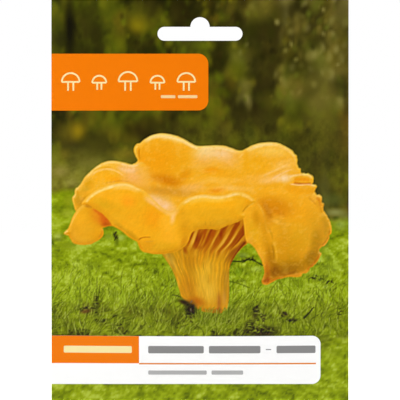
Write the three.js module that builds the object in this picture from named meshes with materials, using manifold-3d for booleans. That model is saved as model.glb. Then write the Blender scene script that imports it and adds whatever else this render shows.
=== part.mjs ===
// A flat hang packet of mushroom spawn: two printed laminate films, heat-sealed to each other round
// all four edges, with loose dried spawn settled low between them. A header seal across the top
// carries the slot that slides onto a shop peg.
//
// Units are millimetres. X runs across the packet, Z up it, and the printed front faces -Y.
// The origin is where the peg bears: the crown of the slot's round hump, in the sealing plane.

import * as THREE from "three";
import { mergeVertices } from "three/addons/utils/BufferGeometryUtils.js";
import Module from "manifold-3d";

// ---- Driving dimensions ----
const PACKET = { width: 111, height: 150 };
const SEAL = { side: 7, foot: 8, header: 20 };
const FILM_THICKNESS = 0.15;
const SEAL_GAP = 0.04; // left between the two sealed films, so that the solids never share a face

// Hang slot: a flat-bottomed bar with round ends, and a round hump that centres the peg.
const SLOT = { width: 31.75, height: 5.2, humpRadius: 3.6, humpBelowEdge: 6.7 };

// How far each film stands out from the sealing plane where the packet is fullest.
const CROWN = { front: 3.4, back: 2.8 };
const SETTLE = 1.8; // how strongly the fill sinks: 1 would put the fullest place half way up

// The fill is a smooth lump that stays clear of both films.
const FILL = { halfWidth: 41, halfHeight: 37, front: 2.5, back: 1.95, above: 44 };

const FILM_CELLS = { across: 20, up: 28 };
const FILL_CELLS = { around: 36, rings: 18 };

// ---- Places worked out from them ----
const TOP = SLOT.humpBelowEdge;
const FOOT = TOP - PACKET.height;
const POCKET = {
  halfWidth: PACKET.width / 2 - SEAL.side,
  low: FOOT + SEAL.foot,
  high: TOP - SEAL.header,
};
const SLOT_TOP = -SLOT.humpRadius;
const SLOT_FOOT = SLOT_TOP - SLOT.height;

const wasm = await Module();
wasm.setup();

/** A closed three.js geometry as a manifold-3d solid. */
function toSolid(geometry) {
  const bare = geometry.clone();
  bare.deleteAttribute("normal");
  bare.deleteAttribute("uv");
  const merged = mergeVertices(bare, 1e-4);
  const mesh = new wasm.Mesh({
    numProp: 3,
    vertProperties: new Float32Array(merged.attributes.position.array),
    triVerts: new Uint32Array(merged.index.array),
  });
  return new wasm.Manifold(mesh);
}

/** A manifold-3d solid back as a three.js geometry. */
function toGeometry(solid) {
  const { vertProperties, triVerts } = solid.getMesh();
  const geometry = new THREE.BufferGeometry();
  geometry.setAttribute("position", new THREE.BufferAttribute(vertProperties, 3));
  geometry.setIndex(new THREE.BufferAttribute(triVerts, 1));
  geometry.computeVertexNormals();
  return geometry;
}

/** How full the packet is at a place, from 0 on every seal to 1 where it is fullest. */
function fullness(x, z) {
  const across = x / POCKET.halfWidth;
  const up = (z - POCKET.low) / (POCKET.high - POCKET.low);
  if (Math.abs(across) >= 1 || up <= 0 || up >= 1) return 0;
  const peak = 1 / (1 + SETTLE);
  const rise = (t) => t * (1 - t) ** SETTLE;
  return ((1 - across * across) * rise(up)) / rise(peak);
}

/** Places a share of the way along a side, with one cell for each seal and even cells between. */
function station(share, cells, low, lowSeal, highSeal, high) {
  const index = Math.round(share * cells);
  if (index === 0) return low;
  if (index === cells) return high;
  return THREE.MathUtils.lerp(lowSeal, highSeal, (index - 1) / (cells - 2));
}

/** The outline of the hang slot, drawn in X and Z. */
function slotShape() {
  const endRadius = SLOT.height / 2;
  const endX = SLOT.width / 2 - endRadius;
  const middle = (SLOT_TOP + SLOT_FOOT) / 2;
  const outline = new THREE.Shape();
  outline.moveTo(-endX, SLOT_FOOT);
  outline.lineTo(endX, SLOT_FOOT);
  outline.absarc(endX, middle, endRadius, -Math.PI / 2, Math.PI / 2, false);
  outline.lineTo(SLOT.humpRadius, SLOT_TOP);
  outline.absarc(0, SLOT_TOP, SLOT.humpRadius, 0, Math.PI, false);
  outline.lineTo(-endX, SLOT_TOP);
  outline.absarc(-endX, middle, endRadius, Math.PI / 2, (3 * Math.PI) / 2, false);
  return outline;
}

/** The punch that cuts the slot, long enough to pass through both films. */
function slotPunch() {
  const depth = 10;
  const punch = new THREE.ExtrudeGeometry(slotShape(), {
    depth,
    bevelEnabled: false,
    curveSegments: 16,
  });
  punch.rotateX(Math.PI / 2);
  punch.translate(0, depth / 2, 0);
  return toSolid(punch);
}

/** One film: a thin sheet, flat on its seals and crowned over the fill, with the slot punched out. */
function film(side, crown) {
  const { across, up } = FILM_CELLS;
  const sheet = new THREE.BoxGeometry(1, 1, 1, across, 1, up);
  const places = sheet.attributes.position;
  for (let i = 0; i < places.count; i++) {
    const x = station(
      places.getX(i) + 0.5,
      across,
      -PACKET.width / 2,
      -POCKET.halfWidth,
      POCKET.halfWidth,
      PACKET.width / 2,
    );
    const z = station(places.getZ(i) + 0.5, up, FOOT, POCKET.low, POCKET.high, TOP);
    const through = (places.getY(i) + 0.5) * FILM_THICKNESS;
    const inner = SEAL_GAP / 2 + crown * fullness(x, z);
    // The back film is modelled as it lies; the front one is its mirror image, walls swapped.
    const y = side > 0 ? inner + through : -(inner + FILM_THICKNESS - through);
    places.setXYZ(i, x, y, z);
  }
  return toGeometry(toSolid(sheet).subtract(slotPunch()));
}

/** The loose spawn, as one smooth lump that bulges a little more to the front. */
function fill() {
  const lump = new THREE.SphereGeometry(1, FILL_CELLS.around, FILL_CELLS.rings);
  lump.rotateX(Math.PI / 2);
  const places = lump.attributes.position;
  for (let i = 0; i < places.count; i++) {
    const depth = places.getY(i) > 0 ? FILL.back : FILL.front;
    places.setXYZ(
      i,
      places.getX(i) * FILL.halfWidth,
      places.getY(i) * depth,
      places.getZ(i) * FILL.halfHeight + POCKET.low + FILL.above,
    );
  }
  return toGeometry(toSolid(lump));
}

/** A named mesh with its own material. */
function piece(name, geometry, color, roughness) {
  const material = new THREE.MeshStandardMaterial({ color, roughness, metalness: 0 });
  const mesh = new THREE.Mesh(geometry, material);
  mesh.name = name;
  return mesh;
}

const packet = new THREE.Group();
packet.add(
  piece("front_film", film(-1, CROWN.front), 0x7f8f2c, 0.4),
  piece("back_film", film(1, CROWN.back), 0xf4f1e6, 0.45),
  piece("spawn_fill", fill(), 0xb99a6b, 0.9),
);

export default packet;
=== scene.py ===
"""A hang packet of mushroom spawn, dressed for its studio picture.

Two laminate films are heat-sealed round a pocket of loose dried spawn. The front film carries a
full-colour picture of a chanterelle standing in moss, with a coloured tab and a label printed over
it. The back film carries plain greeked lines. The packet hangs by the slot in its header.

The picture is painted in millimetres across and down the packet's face, as an illustrator would lay
it out: blurred woodland, then moss, then the mushroom lobe by lobe from the back to the front. It
is laid on the film as a colour on each vertex, and the flat inks are laid over it in the material.
"""

from __future__ import annotations

import logging
import math
from dataclasses import dataclass
from enum import Enum
from typing import Any, Iterable, Optional, Sequence

import bmesh
import bpy
import numpy as np
from mathutils import Matrix, Vector

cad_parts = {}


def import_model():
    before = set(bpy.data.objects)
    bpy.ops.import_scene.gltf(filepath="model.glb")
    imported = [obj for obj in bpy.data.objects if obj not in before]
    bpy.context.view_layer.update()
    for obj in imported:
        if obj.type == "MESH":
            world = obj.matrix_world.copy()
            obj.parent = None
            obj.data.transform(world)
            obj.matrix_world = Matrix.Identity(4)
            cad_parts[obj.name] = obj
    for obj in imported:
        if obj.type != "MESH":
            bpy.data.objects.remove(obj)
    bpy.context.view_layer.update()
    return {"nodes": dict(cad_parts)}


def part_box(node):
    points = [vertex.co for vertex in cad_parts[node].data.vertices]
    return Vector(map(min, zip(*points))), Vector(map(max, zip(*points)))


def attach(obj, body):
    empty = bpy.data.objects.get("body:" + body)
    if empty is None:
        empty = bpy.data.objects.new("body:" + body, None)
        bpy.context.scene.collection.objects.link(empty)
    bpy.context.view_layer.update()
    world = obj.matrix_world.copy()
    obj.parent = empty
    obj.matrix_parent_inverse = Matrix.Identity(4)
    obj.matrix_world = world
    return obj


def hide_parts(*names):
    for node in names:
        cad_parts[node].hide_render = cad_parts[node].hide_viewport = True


LOG = logging.getLogger("packet")
MM = 0.001

Point = tuple[float, float]
Window = tuple[slice, slice]


# ---- Colour and node helpers ----


def print_colour(hex_colour: str) -> np.ndarray:
    """The red, green and blue of an sRGB hex colour, each from 0 to 1."""
    return np.array([int(hex_colour[i : i + 2], 16) / 255 for i in (1, 3, 5)])


def to_linear(colour: np.ndarray) -> np.ndarray:
    """Turns sRGB values to the linear ones that materials and lights work in."""
    colour = np.asarray(colour, float)
    return np.where(colour <= 0.04045, colour / 12.92, ((colour + 0.055) / 1.055) ** 2.4)


def linear(hex_colour: str) -> tuple[float, float, float, float]:
    """An sRGB hex colour as a linear colour with full alpha, for a node's socket."""
    red, green, blue = to_linear(print_colour(hex_colour))
    return float(red), float(green), float(blue), 1.0


def feed(tree: bpy.types.NodeTree, node: bpy.types.Node, inputs: dict[Any, Any]) -> None:
    """Gives a node's inputs their values or links.

    Args:
        tree: The node tree that holds the node.
        node: The node.
        inputs: For each input, by name or number, a value, a socket or a node whose first output it takes.
    """
    for key, value in inputs.items():
        source = value.outputs[0] if isinstance(value, bpy.types.Node) else value
        if isinstance(source, bpy.types.NodeSocket):
            tree.links.new(source, node.inputs[key])
        else:
            node.inputs[key].default_value = source


def add_node(
    tree: bpy.types.NodeTree, kind: str, inputs: Optional[dict[Any, Any]] = None, **settings: Any
) -> bpy.types.Node:
    """Adds a node, sets it up and links it.

    Args:
        tree: The node tree that the node joins.
        kind: The node's type, such as ShaderNodeMath.
        inputs: What its inputs get, as feed takes it.
        settings: Attributes of the node itself, by name.

    Returns:
        The new node.
    """
    node = tree.nodes.new(kind)
    for name, value in settings.items():
        setattr(node, name, value)
    feed(tree, node, inputs or {})
    return node


def new_material(name: str) -> tuple[bpy.types.Material, bpy.types.NodeTree, bpy.types.Node]:
    """Makes a material that holds only a Principled shader joined to its output.

    Args:
        name: The material's name.

    Returns:
        The material, its node tree and the shader node.
    """
    material = bpy.data.materials.new(name)
    material.use_nodes = True
    tree = material.node_tree
    tree.nodes.clear()
    shader = add_node(tree, "ShaderNodeBsdfPrincipled")
    add_node(tree, "ShaderNodeOutputMaterial", {"Surface": shader.outputs["BSDF"]})
    return material, tree, shader


# ---- Mesh and object helpers ----


def thicken(bm: bmesh.types.BMesh, depth: float) -> None:
    """Makes a flat bmesh a closed slab along Y.

    Args:
        bm: The flat bmesh.
        depth: How thick it gets, and which way, in millimetres.
    """
    made = bmesh.ops.extrude_face_region(bm, geom=bm.faces[:], use_keep_orig=True)["geom"]
    moved = [item for item in made if isinstance(item, bmesh.types.BMVert)]
    bmesh.ops.translate(bm, verts=moved, vec=(0, depth * MM, 0))
    bmesh.ops.recalc_face_normals(bm, faces=bm.faces[:])


def mesh_of(bm: bmesh.types.BMesh, name: str) -> bpy.types.Mesh:
    """Makes a mesh of a finished bmesh.

    Args:
        bm: The bmesh, which is freed.
        name: The mesh's name.

    Returns:
        The mesh.
    """
    mesh = bpy.data.meshes.new(name)
    bm.to_mesh(mesh)
    bm.free()
    return mesh


def put_in_scene(name: str, data: Any) -> bpy.types.Object:
    """Makes an object of a mesh, a light or a camera and puts it in the scene.

    Args:
        name: The object's name.
        data: What it shows.

    Returns:
        The object.
    """
    made = bpy.data.objects.new(name, data)
    bpy.context.scene.collection.objects.link(made)
    return made


def vertex_places(mesh: bpy.types.Mesh) -> np.ndarray:
    """Where a mesh's vertices are, in metres.

    Args:
        mesh: The mesh.

    Returns:
        One row of three to each vertex.
    """
    places = np.empty(len(mesh.vertices) * 3)
    mesh.vertices.foreach_get("co", places)
    return places.reshape(-1, 3)


# ---- Painting: noise, curves, brushes ----


def smooth(low: float, high: float, value: np.ndarray) -> np.ndarray:
    """Rises smoothly from 0 at low to 1 at high."""
    share = np.clip((value - low) / (high - low), 0, 1)
    return share * share * (3 - 2 * share)


def ramp(value: np.ndarray, stops: Sequence[tuple[float, str]]) -> np.ndarray:
    """Blends between hex colours set at rising values.

    Args:
        value: The value at each place.
        stops: Pairs of a value and the colour there.

    Returns:
        The colour at each place.
    """
    positions = [position for position, _ in stops]
    colours = np.array([print_colour(colour) for _, colour in stops])
    return np.stack([np.interp(value, positions, colours[:, k]) for k in range(3)], -1)


class Noise:
    """Smooth seeded noise on a repeating lattice."""

    SIZE = 256
    FADE = 0.55

    def __init__(self, seed: int) -> None:
        """Fills the lattice from the seed."""
        self.table = np.random.RandomState(seed).rand(self.SIZE, self.SIZE)

    def at(self, x: np.ndarray, y: np.ndarray) -> np.ndarray:
        """One layer of the noise.

        Args:
            x: Places across, in bumps.
            y: Places down, in bumps.

        Returns:
            The noise at each place, from 0 to 1.
        """
        column = np.floor(x).astype(int)
        row = np.floor(y).astype(int)
        right = smooth(0, 1, x - column)
        below = smooth(0, 1, y - row)
        left_column, right_column = column % self.SIZE, (column + 1) % self.SIZE
        top_row, low_row = row % self.SIZE, (row + 1) % self.SIZE
        top = self.table[top_row, left_column] * (1 - right) + self.table[top_row, right_column] * right
        low = self.table[low_row, left_column] * (1 - right) + self.table[low_row, right_column] * right
        return top * (1 - below) + low * below

    def clouds(self, x: np.ndarray, y: np.ndarray, octaves: int = 4) -> np.ndarray:
        """Noise with finer and fainter noise laid over it.

        Args:
            x: Places across, in bumps.
            y: Places down, in bumps.
            octaves: How many layers.

        Returns:
            The noise at each place, from 0 to 1.
        """
        total, weight, share = np.zeros(np.shape(x + y)), 0.0, 1.0
        for octave in range(octaves):
            finer = 2**octave
            total = total + share * self.at(x * finer + 17.3 * octave, y * finer + 9.1 * octave)
            weight += share
            share *= self.FADE
        return total / weight


def curve(points: Sequence[Point], closed: bool = False, steps: int = 6) -> np.ndarray:
    """A smooth line through points, by Catmull and Rom's rule.

    Args:
        points: The points that the line passes through.
        closed: Whether the line comes back to its start.
        steps: Pieces between two points.

    Returns:
        The line's points, close together.
    """
    knots = np.array(points, float)
    if closed:
        knots = np.vstack([knots[-1:], knots, knots[:2]])
    else:
        knots = np.vstack([2 * knots[:1] - knots[1:2], knots, 2 * knots[-1:] - knots[-2:-1]])
    t = np.linspace(0, 1, steps, endpoint=False)[:, None]
    parts = []
    for before, start, end, after in zip(knots[:-3], knots[1:-2], knots[2:-1], knots[3:]):
        bend = 2 * before - 5 * start + 4 * end - after
        twist = 3 * start - before - 3 * end + after
        parts.append(0.5 * (2 * start + (end - before) * t + bend * t**2 + twist * t**3))
    parts.append(knots[-2:-1])
    return np.vstack(parts)


def line_distance(x: np.ndarray, y: np.ndarray, path: np.ndarray) -> tuple[np.ndarray, np.ndarray]:
    """How far places lie from a line.

    Args:
        x: Places across.
        y: Places down.
        path: The line's points.

    Returns:
        The distance to the line, and how far along the line its nearest place is, from 0 to 1.
    """
    nearest = np.full(x.shape, np.inf)
    along = np.zeros(x.shape)
    lengths = np.hypot(*np.diff(path, axis=0).T)
    passed = 0.0
    for (ax, ay), (bx, by), length in zip(path[:-1], path[1:], lengths):
        if length == 0:
            continue
        ux, uy = (bx - ax) / length, (by - ay) / length
        foot = np.clip((x - ax) * ux + (y - ay) * uy, 0, length)
        squared = (x - ax - foot * ux) ** 2 + (y - ay - foot * uy) ** 2
        nearer = squared < nearest
        nearest = np.where(nearer, squared, nearest)
        along = np.where(nearer, passed + foot, along)
        passed += length
    return np.sqrt(nearest), along / passed


def depth_inside(x: np.ndarray, y: np.ndarray, path: np.ndarray) -> np.ndarray:
    """How deep places lie inside a closed line, negative outside it.

    Args:
        x: Places across.
        y: Places down.
        path: The closed line's points.

    Returns:
        The depth at each place.
    """
    distance, _ = line_distance(x, y, path)
    inside = np.zeros(x.shape, bool)
    for (ax, ay), (bx, by) in zip(path[:-1], path[1:]):
        if ay != by:
            crosses = (ay > y) != (by > y)
            inside ^= crosses & (x < ax + (y - ay) * (bx - ax) / (by - ay))
    return np.where(inside, distance, -distance)


class Canvas:
    """A sheet of paint cells over the packet's face, in millimetres across and down from its top left."""

    def __init__(self, width: float, height: float, cell: float) -> None:
        """Lays out the cells.

        Args:
            width: Width of the face.
            height: Height of the face.
            cell: Size of a paint cell.
        """
        self.width, self.height = width, height
        columns, rows = round(width / cell), round(height / cell)
        self.across = (np.arange(columns) + 0.5) * width / columns
        self.down = (np.arange(rows) + 0.5) * height / rows
        self.colour = np.zeros((rows, columns, 3))
        self.all_over = np.ones((rows, columns))

    def window(self, low: Sequence[float], high: Sequence[float]) -> Window:
        """The cells between two corners, as rows and columns."""
        left, right = np.searchsorted(self.across, [low[0], high[0]])
        top, foot = np.searchsorted(self.down, [low[1], high[1]])
        return slice(top, foot), slice(left, right)

    def places(self, window: Optional[Window] = None) -> list[np.ndarray]:
        """Where the cells are, across and down."""
        rows, columns = window or (slice(None), slice(None))
        return np.meshgrid(self.across[columns], self.down[rows])

    def lay(self, colour: np.ndarray, cover: np.ndarray, window: Optional[Window] = None) -> None:
        """Lays a colour over what is there.

        Args:
            colour: One colour, or one for each cell.
            cover: How much of it each cell takes, from 0 to 1.
            window: The cells it reaches, or all of them.
        """
        rows, columns = window or (slice(None), slice(None))
        under = self.colour[rows, columns]
        self.colour[rows, columns] = under + (colour - under) * cover[..., None]

    def touch_in(self, touches: Iterable[Stroke | Touch], mask: Optional[np.ndarray] = None) -> None:
        """Paints touches one after another, inside the mask where there is one.

        Args:
            touches: The touches, from the lowest up.
            mask: How much of each cell they may cover.
        """
        for touch in touches:
            touch.paint(self, self.all_over if mask is None else mask)

    def sharpen(self, cells: int, amount: float) -> None:
        """Sets edges off from the blur round them, as a picture is sharpened before it is printed.

        Args:
            cells: How far the blur reaches each way.
            amount: How strongly edges are set off.
        """
        soft = self.colour
        for axis in (0, 1):
            shifted = [np.roll(soft, step, axis) for step in range(-cells, cells + 1)]
            soft = sum(shifted) / len(shifted)
        self.colour = np.clip(self.colour + amount * (self.colour - soft), 0, 1)

    def hold_back_blue(self, amount: float) -> None:
        """Prints a little less blue, because the film's sheen adds as much."""
        self.colour[..., 2] = np.clip(self.colour[..., 2] - amount, 0, 1)

    def sample(self, across: np.ndarray, down: np.ndarray) -> np.ndarray:
        """The colour at any places, blended between the nearest cells.

        Args:
            across: Places across.
            down: Places down.

        Returns:
            One colour for each place.
        """
        rows, columns = self.colour.shape[:2]
        x = np.clip(across / self.width * columns - 0.5, 0, columns - 1.001)
        y = np.clip(down / self.height * rows - 0.5, 0, rows - 1.001)
        column, row = x.astype(int), y.astype(int)
        right, below = (x - column)[:, None], (y - row)[:, None]
        top = self.colour[row, column] * (1 - right) + self.colour[row, column + 1] * right
        low = self.colour[row + 1, column] * (1 - right) + self.colour[row + 1, column + 1] * right
        return top * (1 - below) + low * below


@dataclass(frozen=True)
class Stroke:
    """A soft brush stroke along a smooth line."""

    colour: str
    strength: float
    width: float
    points: Sequence[Point]
    end_width: Optional[float] = None
    fade: float = 0.0

    def paint(self, canvas: Canvas, mask: np.ndarray) -> None:
        """Lays the stroke on the canvas, inside the mask.

        Args:
            canvas: The canvas to paint on.
            mask: How much of each cell it may cover.
        """
        path = curve(self.points)
        last = self.width if self.end_width is None else self.end_width
        reach = max(self.width, last)
        window = canvas.window(path.min(0) - reach, path.max(0) + reach)
        x, y = canvas.places(window)
        if not x.size:
            return
        distance, along = line_distance(x, y, path)
        width = self.width + (last - self.width) * along
        cover = self.strength * (1 - smooth(0, 1, distance / width))
        if self.fade:
            cover = cover * smooth(0, self.fade, along) * smooth(0, self.fade, 1 - along)
        canvas.lay(print_colour(self.colour), cover * mask[window], window)


@dataclass(frozen=True)
class Touch:
    """A soft oval touch of the airbrush."""

    colour: str
    strength: float
    centre: Point
    radii: Point
    turn: float = 0.0

    REACH = 1.5

    def paint(self, canvas: Canvas, mask: np.ndarray) -> None:
        """Lays the touch on the canvas, inside the mask.

        Args:
            canvas: The canvas to paint on.
            mask: How much of each cell it may cover.
        """
        reach = max(self.radii) * self.REACH
        middle = np.array(self.centre)
        window = canvas.window(middle - reach, middle + reach)
        x, y = canvas.places(window)
        if not x.size:
            return
        turn = math.radians(self.turn)
        x, y = x - middle[0], y - middle[1]
        long_way = (x * math.cos(turn) + y * math.sin(turn)) / self.radii[0]
        short_way = (y * math.cos(turn) - x * math.sin(turn)) / self.radii[1]
        cover = self.strength * (1 - smooth(0, self.REACH, np.hypot(long_way, short_way)))
        canvas.lay(print_colour(self.colour), cover * mask[window], window)


@dataclass(frozen=True)
class Skin:
    """How uneven a stretch of flesh is: pale and deep patches, and fine wrinkles lit from the upper left."""

    pale: str
    deep: str
    patches: float
    wrinkles: float
    size: Point
    seed: int

    LIGHT_SHIFT = 0.3

    def paint(self, canvas: Canvas, mask: np.ndarray) -> None:
        """Lays the patches and the wrinkles on the flesh inside the mask.

        Args:
            canvas: The canvas to paint on.
            mask: How much of each cell it may cover.
        """
        rows, columns = np.flatnonzero(mask.any(1)), np.flatnonzero(mask.any(0))
        window = slice(rows[0], rows[-1] + 1), slice(columns[0], columns[-1] + 1)
        x, y = canvas.places(window)
        noise = Noise(self.seed)
        sway = 0.8 * (noise.clouds(x / 9, y / 9, 2) - 0.5)
        across, down = x / self.size[0] + sway, y / self.size[1] + sway
        patch = noise.clouds(across, down)
        cover = mask[window] * self.patches
        canvas.lay(print_colour(self.pale), cover * smooth(0.5, 0.72, patch), window)
        canvas.lay(print_colour(self.deep), cover * smooth(0.5, 0.3, patch), window)
        shift = self.LIGHT_SHIFT
        fine = noise.clouds(across * 2, down * 2, 3)
        lit = fine - noise.clouds((across * 2 - shift), (down * 2 - shift), 3)
        canvas.colour[window] *= 1 + (mask[window] * self.wrinkles * lit)[..., None]


@dataclass(frozen=True)
class Lobe:
    """One lobe of the mushroom: an outline filled with flesh, touched in, then lit along its edge."""

    outline: Sequence[Point]
    flesh: str
    touches: Sequence[Stroke | Touch]
    skin: Skin
    rim_light: float = 0.42
    under_shade: float = 0.42
    melts: Optional[tuple[float, float]] = None
    crinkled_from: float = 200.0
    depth_of_tone: float = 1.3

    EDGE = 0.3
    CRINKLE = 1.3
    RIM = 2.1
    UNDER = 2.6
    RIM_COLOUR = "#fcd88c"
    UNDER_COLOUR = "#c47c08"

    def paint(self, canvas: Canvas) -> np.ndarray:
        """Paints the lobe over what lies behind it.

        Args:
            canvas: The canvas to paint on.

        Returns:
            How much of each cell the lobe covers.
        """
        path = curve(self.outline, closed=True)
        window = canvas.window(path.min(0) - 1, path.max(0) + 1)
        x, y = canvas.places(window)
        depth = depth_inside(x, y, path)
        crinkle = Noise(41).clouds(x / 1.7, y / 1.7, 2) - 0.5
        depth = depth + self.CRINKLE * crinkle * (0.12 + 0.88 * smooth(0, 6, x - self.crinkled_from))
        cover = np.zeros(canvas.all_over.shape)
        cover[window] = smooth(-self.EDGE, self.EDGE, depth)
        if self.melts:
            cover[window] *= 1 - smooth(*self.melts, x)
        canvas.lay(print_colour(self.flesh), cover)
        canvas.touch_in(self.touches, cover)
        tone = canvas.colour[window] - print_colour(self.flesh)
        deepen = (self.depth_of_tone - 1) * cover[window] * smooth(0.2, 1.2, depth)
        canvas.colour[window] += tone * deepen[..., None]
        fall_down, fall_across = np.gradient(depth)
        facing_up = fall_down / (np.hypot(fall_down, fall_across) + 1e-6)
        rim = self.rim_light * np.clip(facing_up, 0, 1) * (1 - smooth(0, self.RIM, depth))
        under = self.under_shade * np.clip(-facing_up, 0, 1) * (1 - smooth(0, self.UNDER, depth))
        canvas.lay(print_colour(self.UNDER_COLOUR), cover[window] * under, window)
        canvas.lay(print_colour(self.RIM_COLOUR), cover[window] * rim, window)
        self.skin.paint(canvas, cover)
        return cover


# ---- The picture on the front: a chanterelle in moss, with a wood behind ----


class Woodland:
    """The wood behind, far out of focus: dark mossy trunks and the light between them."""

    SHADE_SIDE = [
        (0.25, "#1c1b04"), (0.42, "#2f3008"), (0.52, "#3e400a"), (0.62, "#4c4e0e"), (0.78, "#666014"),
    ]
    SUN_SIDE = [(0.25, "#241f08"), (0.42, "#383210"), (0.52, "#453e12"), (0.64, "#5a5018"), (0.8, "#746a2a")]
    HAZE = [(0.2, "#665c1e"), (0.5, "#7d7828"), (0.8, "#8f8a36")]
    UNDERGROWTH = [(0.3, "#3c380e"), (0.5, "#504a14"), (0.7, "#5f5a1a")]
    SEED = 8
    LEAVES = 2200
    GAPS = ["#181603", "#262404", "#2c2e07", "#282008", "#352d0c"]
    LEAF_GREENS = ["#4d5608", "#5e6a0e", "#66640e", "#7a7414", "#4a4e0a", "#5a4a10"]
    PALE_LEAVES = ["#74692a", "#8b8344", "#635818", "#a0975c", "#70622a", "#626a20"]
    TRUNKS_AND_LIGHTS = [
        Touch("#0f0d03", 1, (6.8, 10), (2.2, 12)),
        Touch("#2c2a04", 0.5, (11, 4), (6, 4)),
        Touch("#28280a", 0.65, (2.5, 14), (3, 9)),
        Touch("#4a4b10", 0.4, (14, 9), (3.5, 9)),
        Touch("#8a7a0e", 0.95, (32.4, 9.4), (4, 3.8)),
        Touch("#5b5510", 0.5, (34, 6), (5, 5)),
        Touch("#66700f", 0.75, (57, 17.5), (4, 2.4)),
        Touch("#5e6412", 0.5, (53, 16.5), (5, 3)),
        Touch("#2b2a08", 0.6, (54, 4), (3, 3)),
        Touch("#67601e", 0.6, (78, 5), (6, 4)),
        Touch("#2c270a", 0.7, (91, 3), (3, 4)),
        Touch("#30300c", 0.6, (70, 13), (6, 4)),
        Touch("#2f300a", 0.5, (74, 20), (5, 8)),
        Touch("#60620f", 0.6, (69.5, 27), (4.5, 4)),
        Touch("#635e16", 0.5, (82, 38), (5, 4)),
        Touch("#6c642a", 0.6, (101, 30), (6, 14)),
        Touch("#6a6228", 0.5, (100, 44), (6, 9)),
        Touch("#4b4318", 0.5, (110, 20), (4, 14)),
        Touch("#3f381a", 0.5, (109, 4), (5, 6)),
        Touch("#32280a", 0.85, (33, 49), (6, 5)),
        Touch("#3a330a", 0.6, (38, 46), (5, 3.4)),
        Touch("#5f5812", 0.5, (21, 48.5), (5, 4)),
        Touch("#8e760e", 0.95, (9.6, 49.2), (3.8, 4.2)),
        Touch("#6b5c18", 0.6, (5, 50), (4, 5)),
        Touch("#43400c", 0.6, (16, 54), (5, 4)),
        Touch("#46400e", 0.6, (10, 58), (3.6, 3)),
        Touch("#66690f", 0.7, (52, 45.5), (5, 3)),
        Touch("#4e5410", 0.6, (60, 50), (4, 4)),
        Touch("#43371a", 0.5, (64, 50), (5, 4)),
        Touch("#3d4a18", 0.6, (73.5, 51), (3, 4)),
        Touch("#3a380e", 0.5, (88, 57), (8, 6)),
        Touch("#423d12", 0.6, (98, 61), (6, 8)),
        Touch("#72491a", 0.7, (109.6, 50), (3, 10)),
        Touch("#5d5520", 0.5, (106, 50), (4, 10)),
    ]
    EDGE_OF_MOSS = [
        Touch("#9a8852", 0.5, (3, 64.5), (3.5, 2.4)),
        Touch("#a19a52", 0.5, (7, 68.4), (3, 1.6)),
        Touch("#7c7432", 0.5, (16, 60.6), (6, 2)),
        Touch("#86701f", 0.5, (28, 57.6), (6, 2.5)),
        Touch("#47451c", 0.7, (102, 70.5), (3, 4)),
        Touch("#586028", 0.7, (105, 75), (5, 3)),
        Touch("#8d8f58", 0.8, (106, 79.6), (4, 1.6)),
        Touch("#7f8444", 0.6, (110, 81.6), (4, 2)),
        Touch("#3f4a14", 0.8, (106.3, 81.8), (1.3, 0.8)),
    ]

    def paint(self, canvas: Canvas) -> None:
        """Fills the canvas with the wood.

        Args:
            canvas: The canvas to paint on.
        """
        x, y = canvas.places()
        noise = Noise(3)
        # shade with a cooler, darker left side
        warp = noise.clouds(x / 16, y / 22) - 0.5
        value = 0.6 * noise.clouds(x / 13 + 3 * warp, y / 20 + 5)
        value += 0.4 * noise.clouds(x / 4 + warp, y / 7 + 20)
        value += 0.12 * smooth(70, 104, x) * smooth(4, 22, y) - 0.06
        mix = smooth(40, 80, x)[..., None]
        canvas.colour[:] = ramp(value, self.SHADE_SIDE) * (1 - mix) + ramp(value, self.SUN_SIDE) * mix
        self._leaves(canvas)
        canvas.touch_in(self.TRUNKS_AND_LIGHTS)
        # light haze low on the left, and a glow over the undergrowth in the middle
        haze = smooth(50, 68, y) * (1 - smooth(28, 44, x))
        canvas.lay(ramp(noise.clouds(x / 4, y / 3 + 60), self.HAZE), haze * 0.85)
        glow = smooth(38, 52, y) * smooth(36, 50, x) * 0.55
        canvas.lay(ramp(noise.clouds(x / 3 + 9, y / 4 + 30), self.UNDERGROWTH), glow)
        canvas.touch_in(self.EDGE_OF_MOSS)

    def _leaves(self, canvas: Canvas) -> None:
        """Scatters leaves and gaps, each blurred to a soft oval, in patches of light and shade."""
        draw = np.random.RandomState(self.SEED)
        noise = Noise(self.SEED)
        for count in range(self.LEAVES):
            x, y = draw.uniform(0, canvas.width), draw.uniform(-1, 78)
            sunny = smooth(62, 84, x + draw.normal(0, 7)) * (1 - 0.6 * smooth(28, 44, y))
            patch = float(noise.clouds(np.array(x / 8), np.array(y / 11), 3)) - 0.5
            light = 0.53 + 2.3 * patch + draw.normal(0, 0.15)
            if light < 0.5:
                colours = self.GAPS
            elif sunny > 0.5:
                colours = self.PALE_LEAVES
            else:
                colours = self.LEAF_GREENS
            colour = colours[draw.randint(len(colours))]
            radius = draw.uniform(0.75, 1.7) if count % 4 else draw.uniform(1.8, 3.6)
            tall = draw.uniform(1.0, 1.9)
            strength = draw.uniform(0.25, 0.7)
            leaf = Touch(colour, strength, (x, y), (radius, radius * tall), draw.normal(0, 18))
            leaf.paint(canvas, canvas.all_over)


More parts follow.
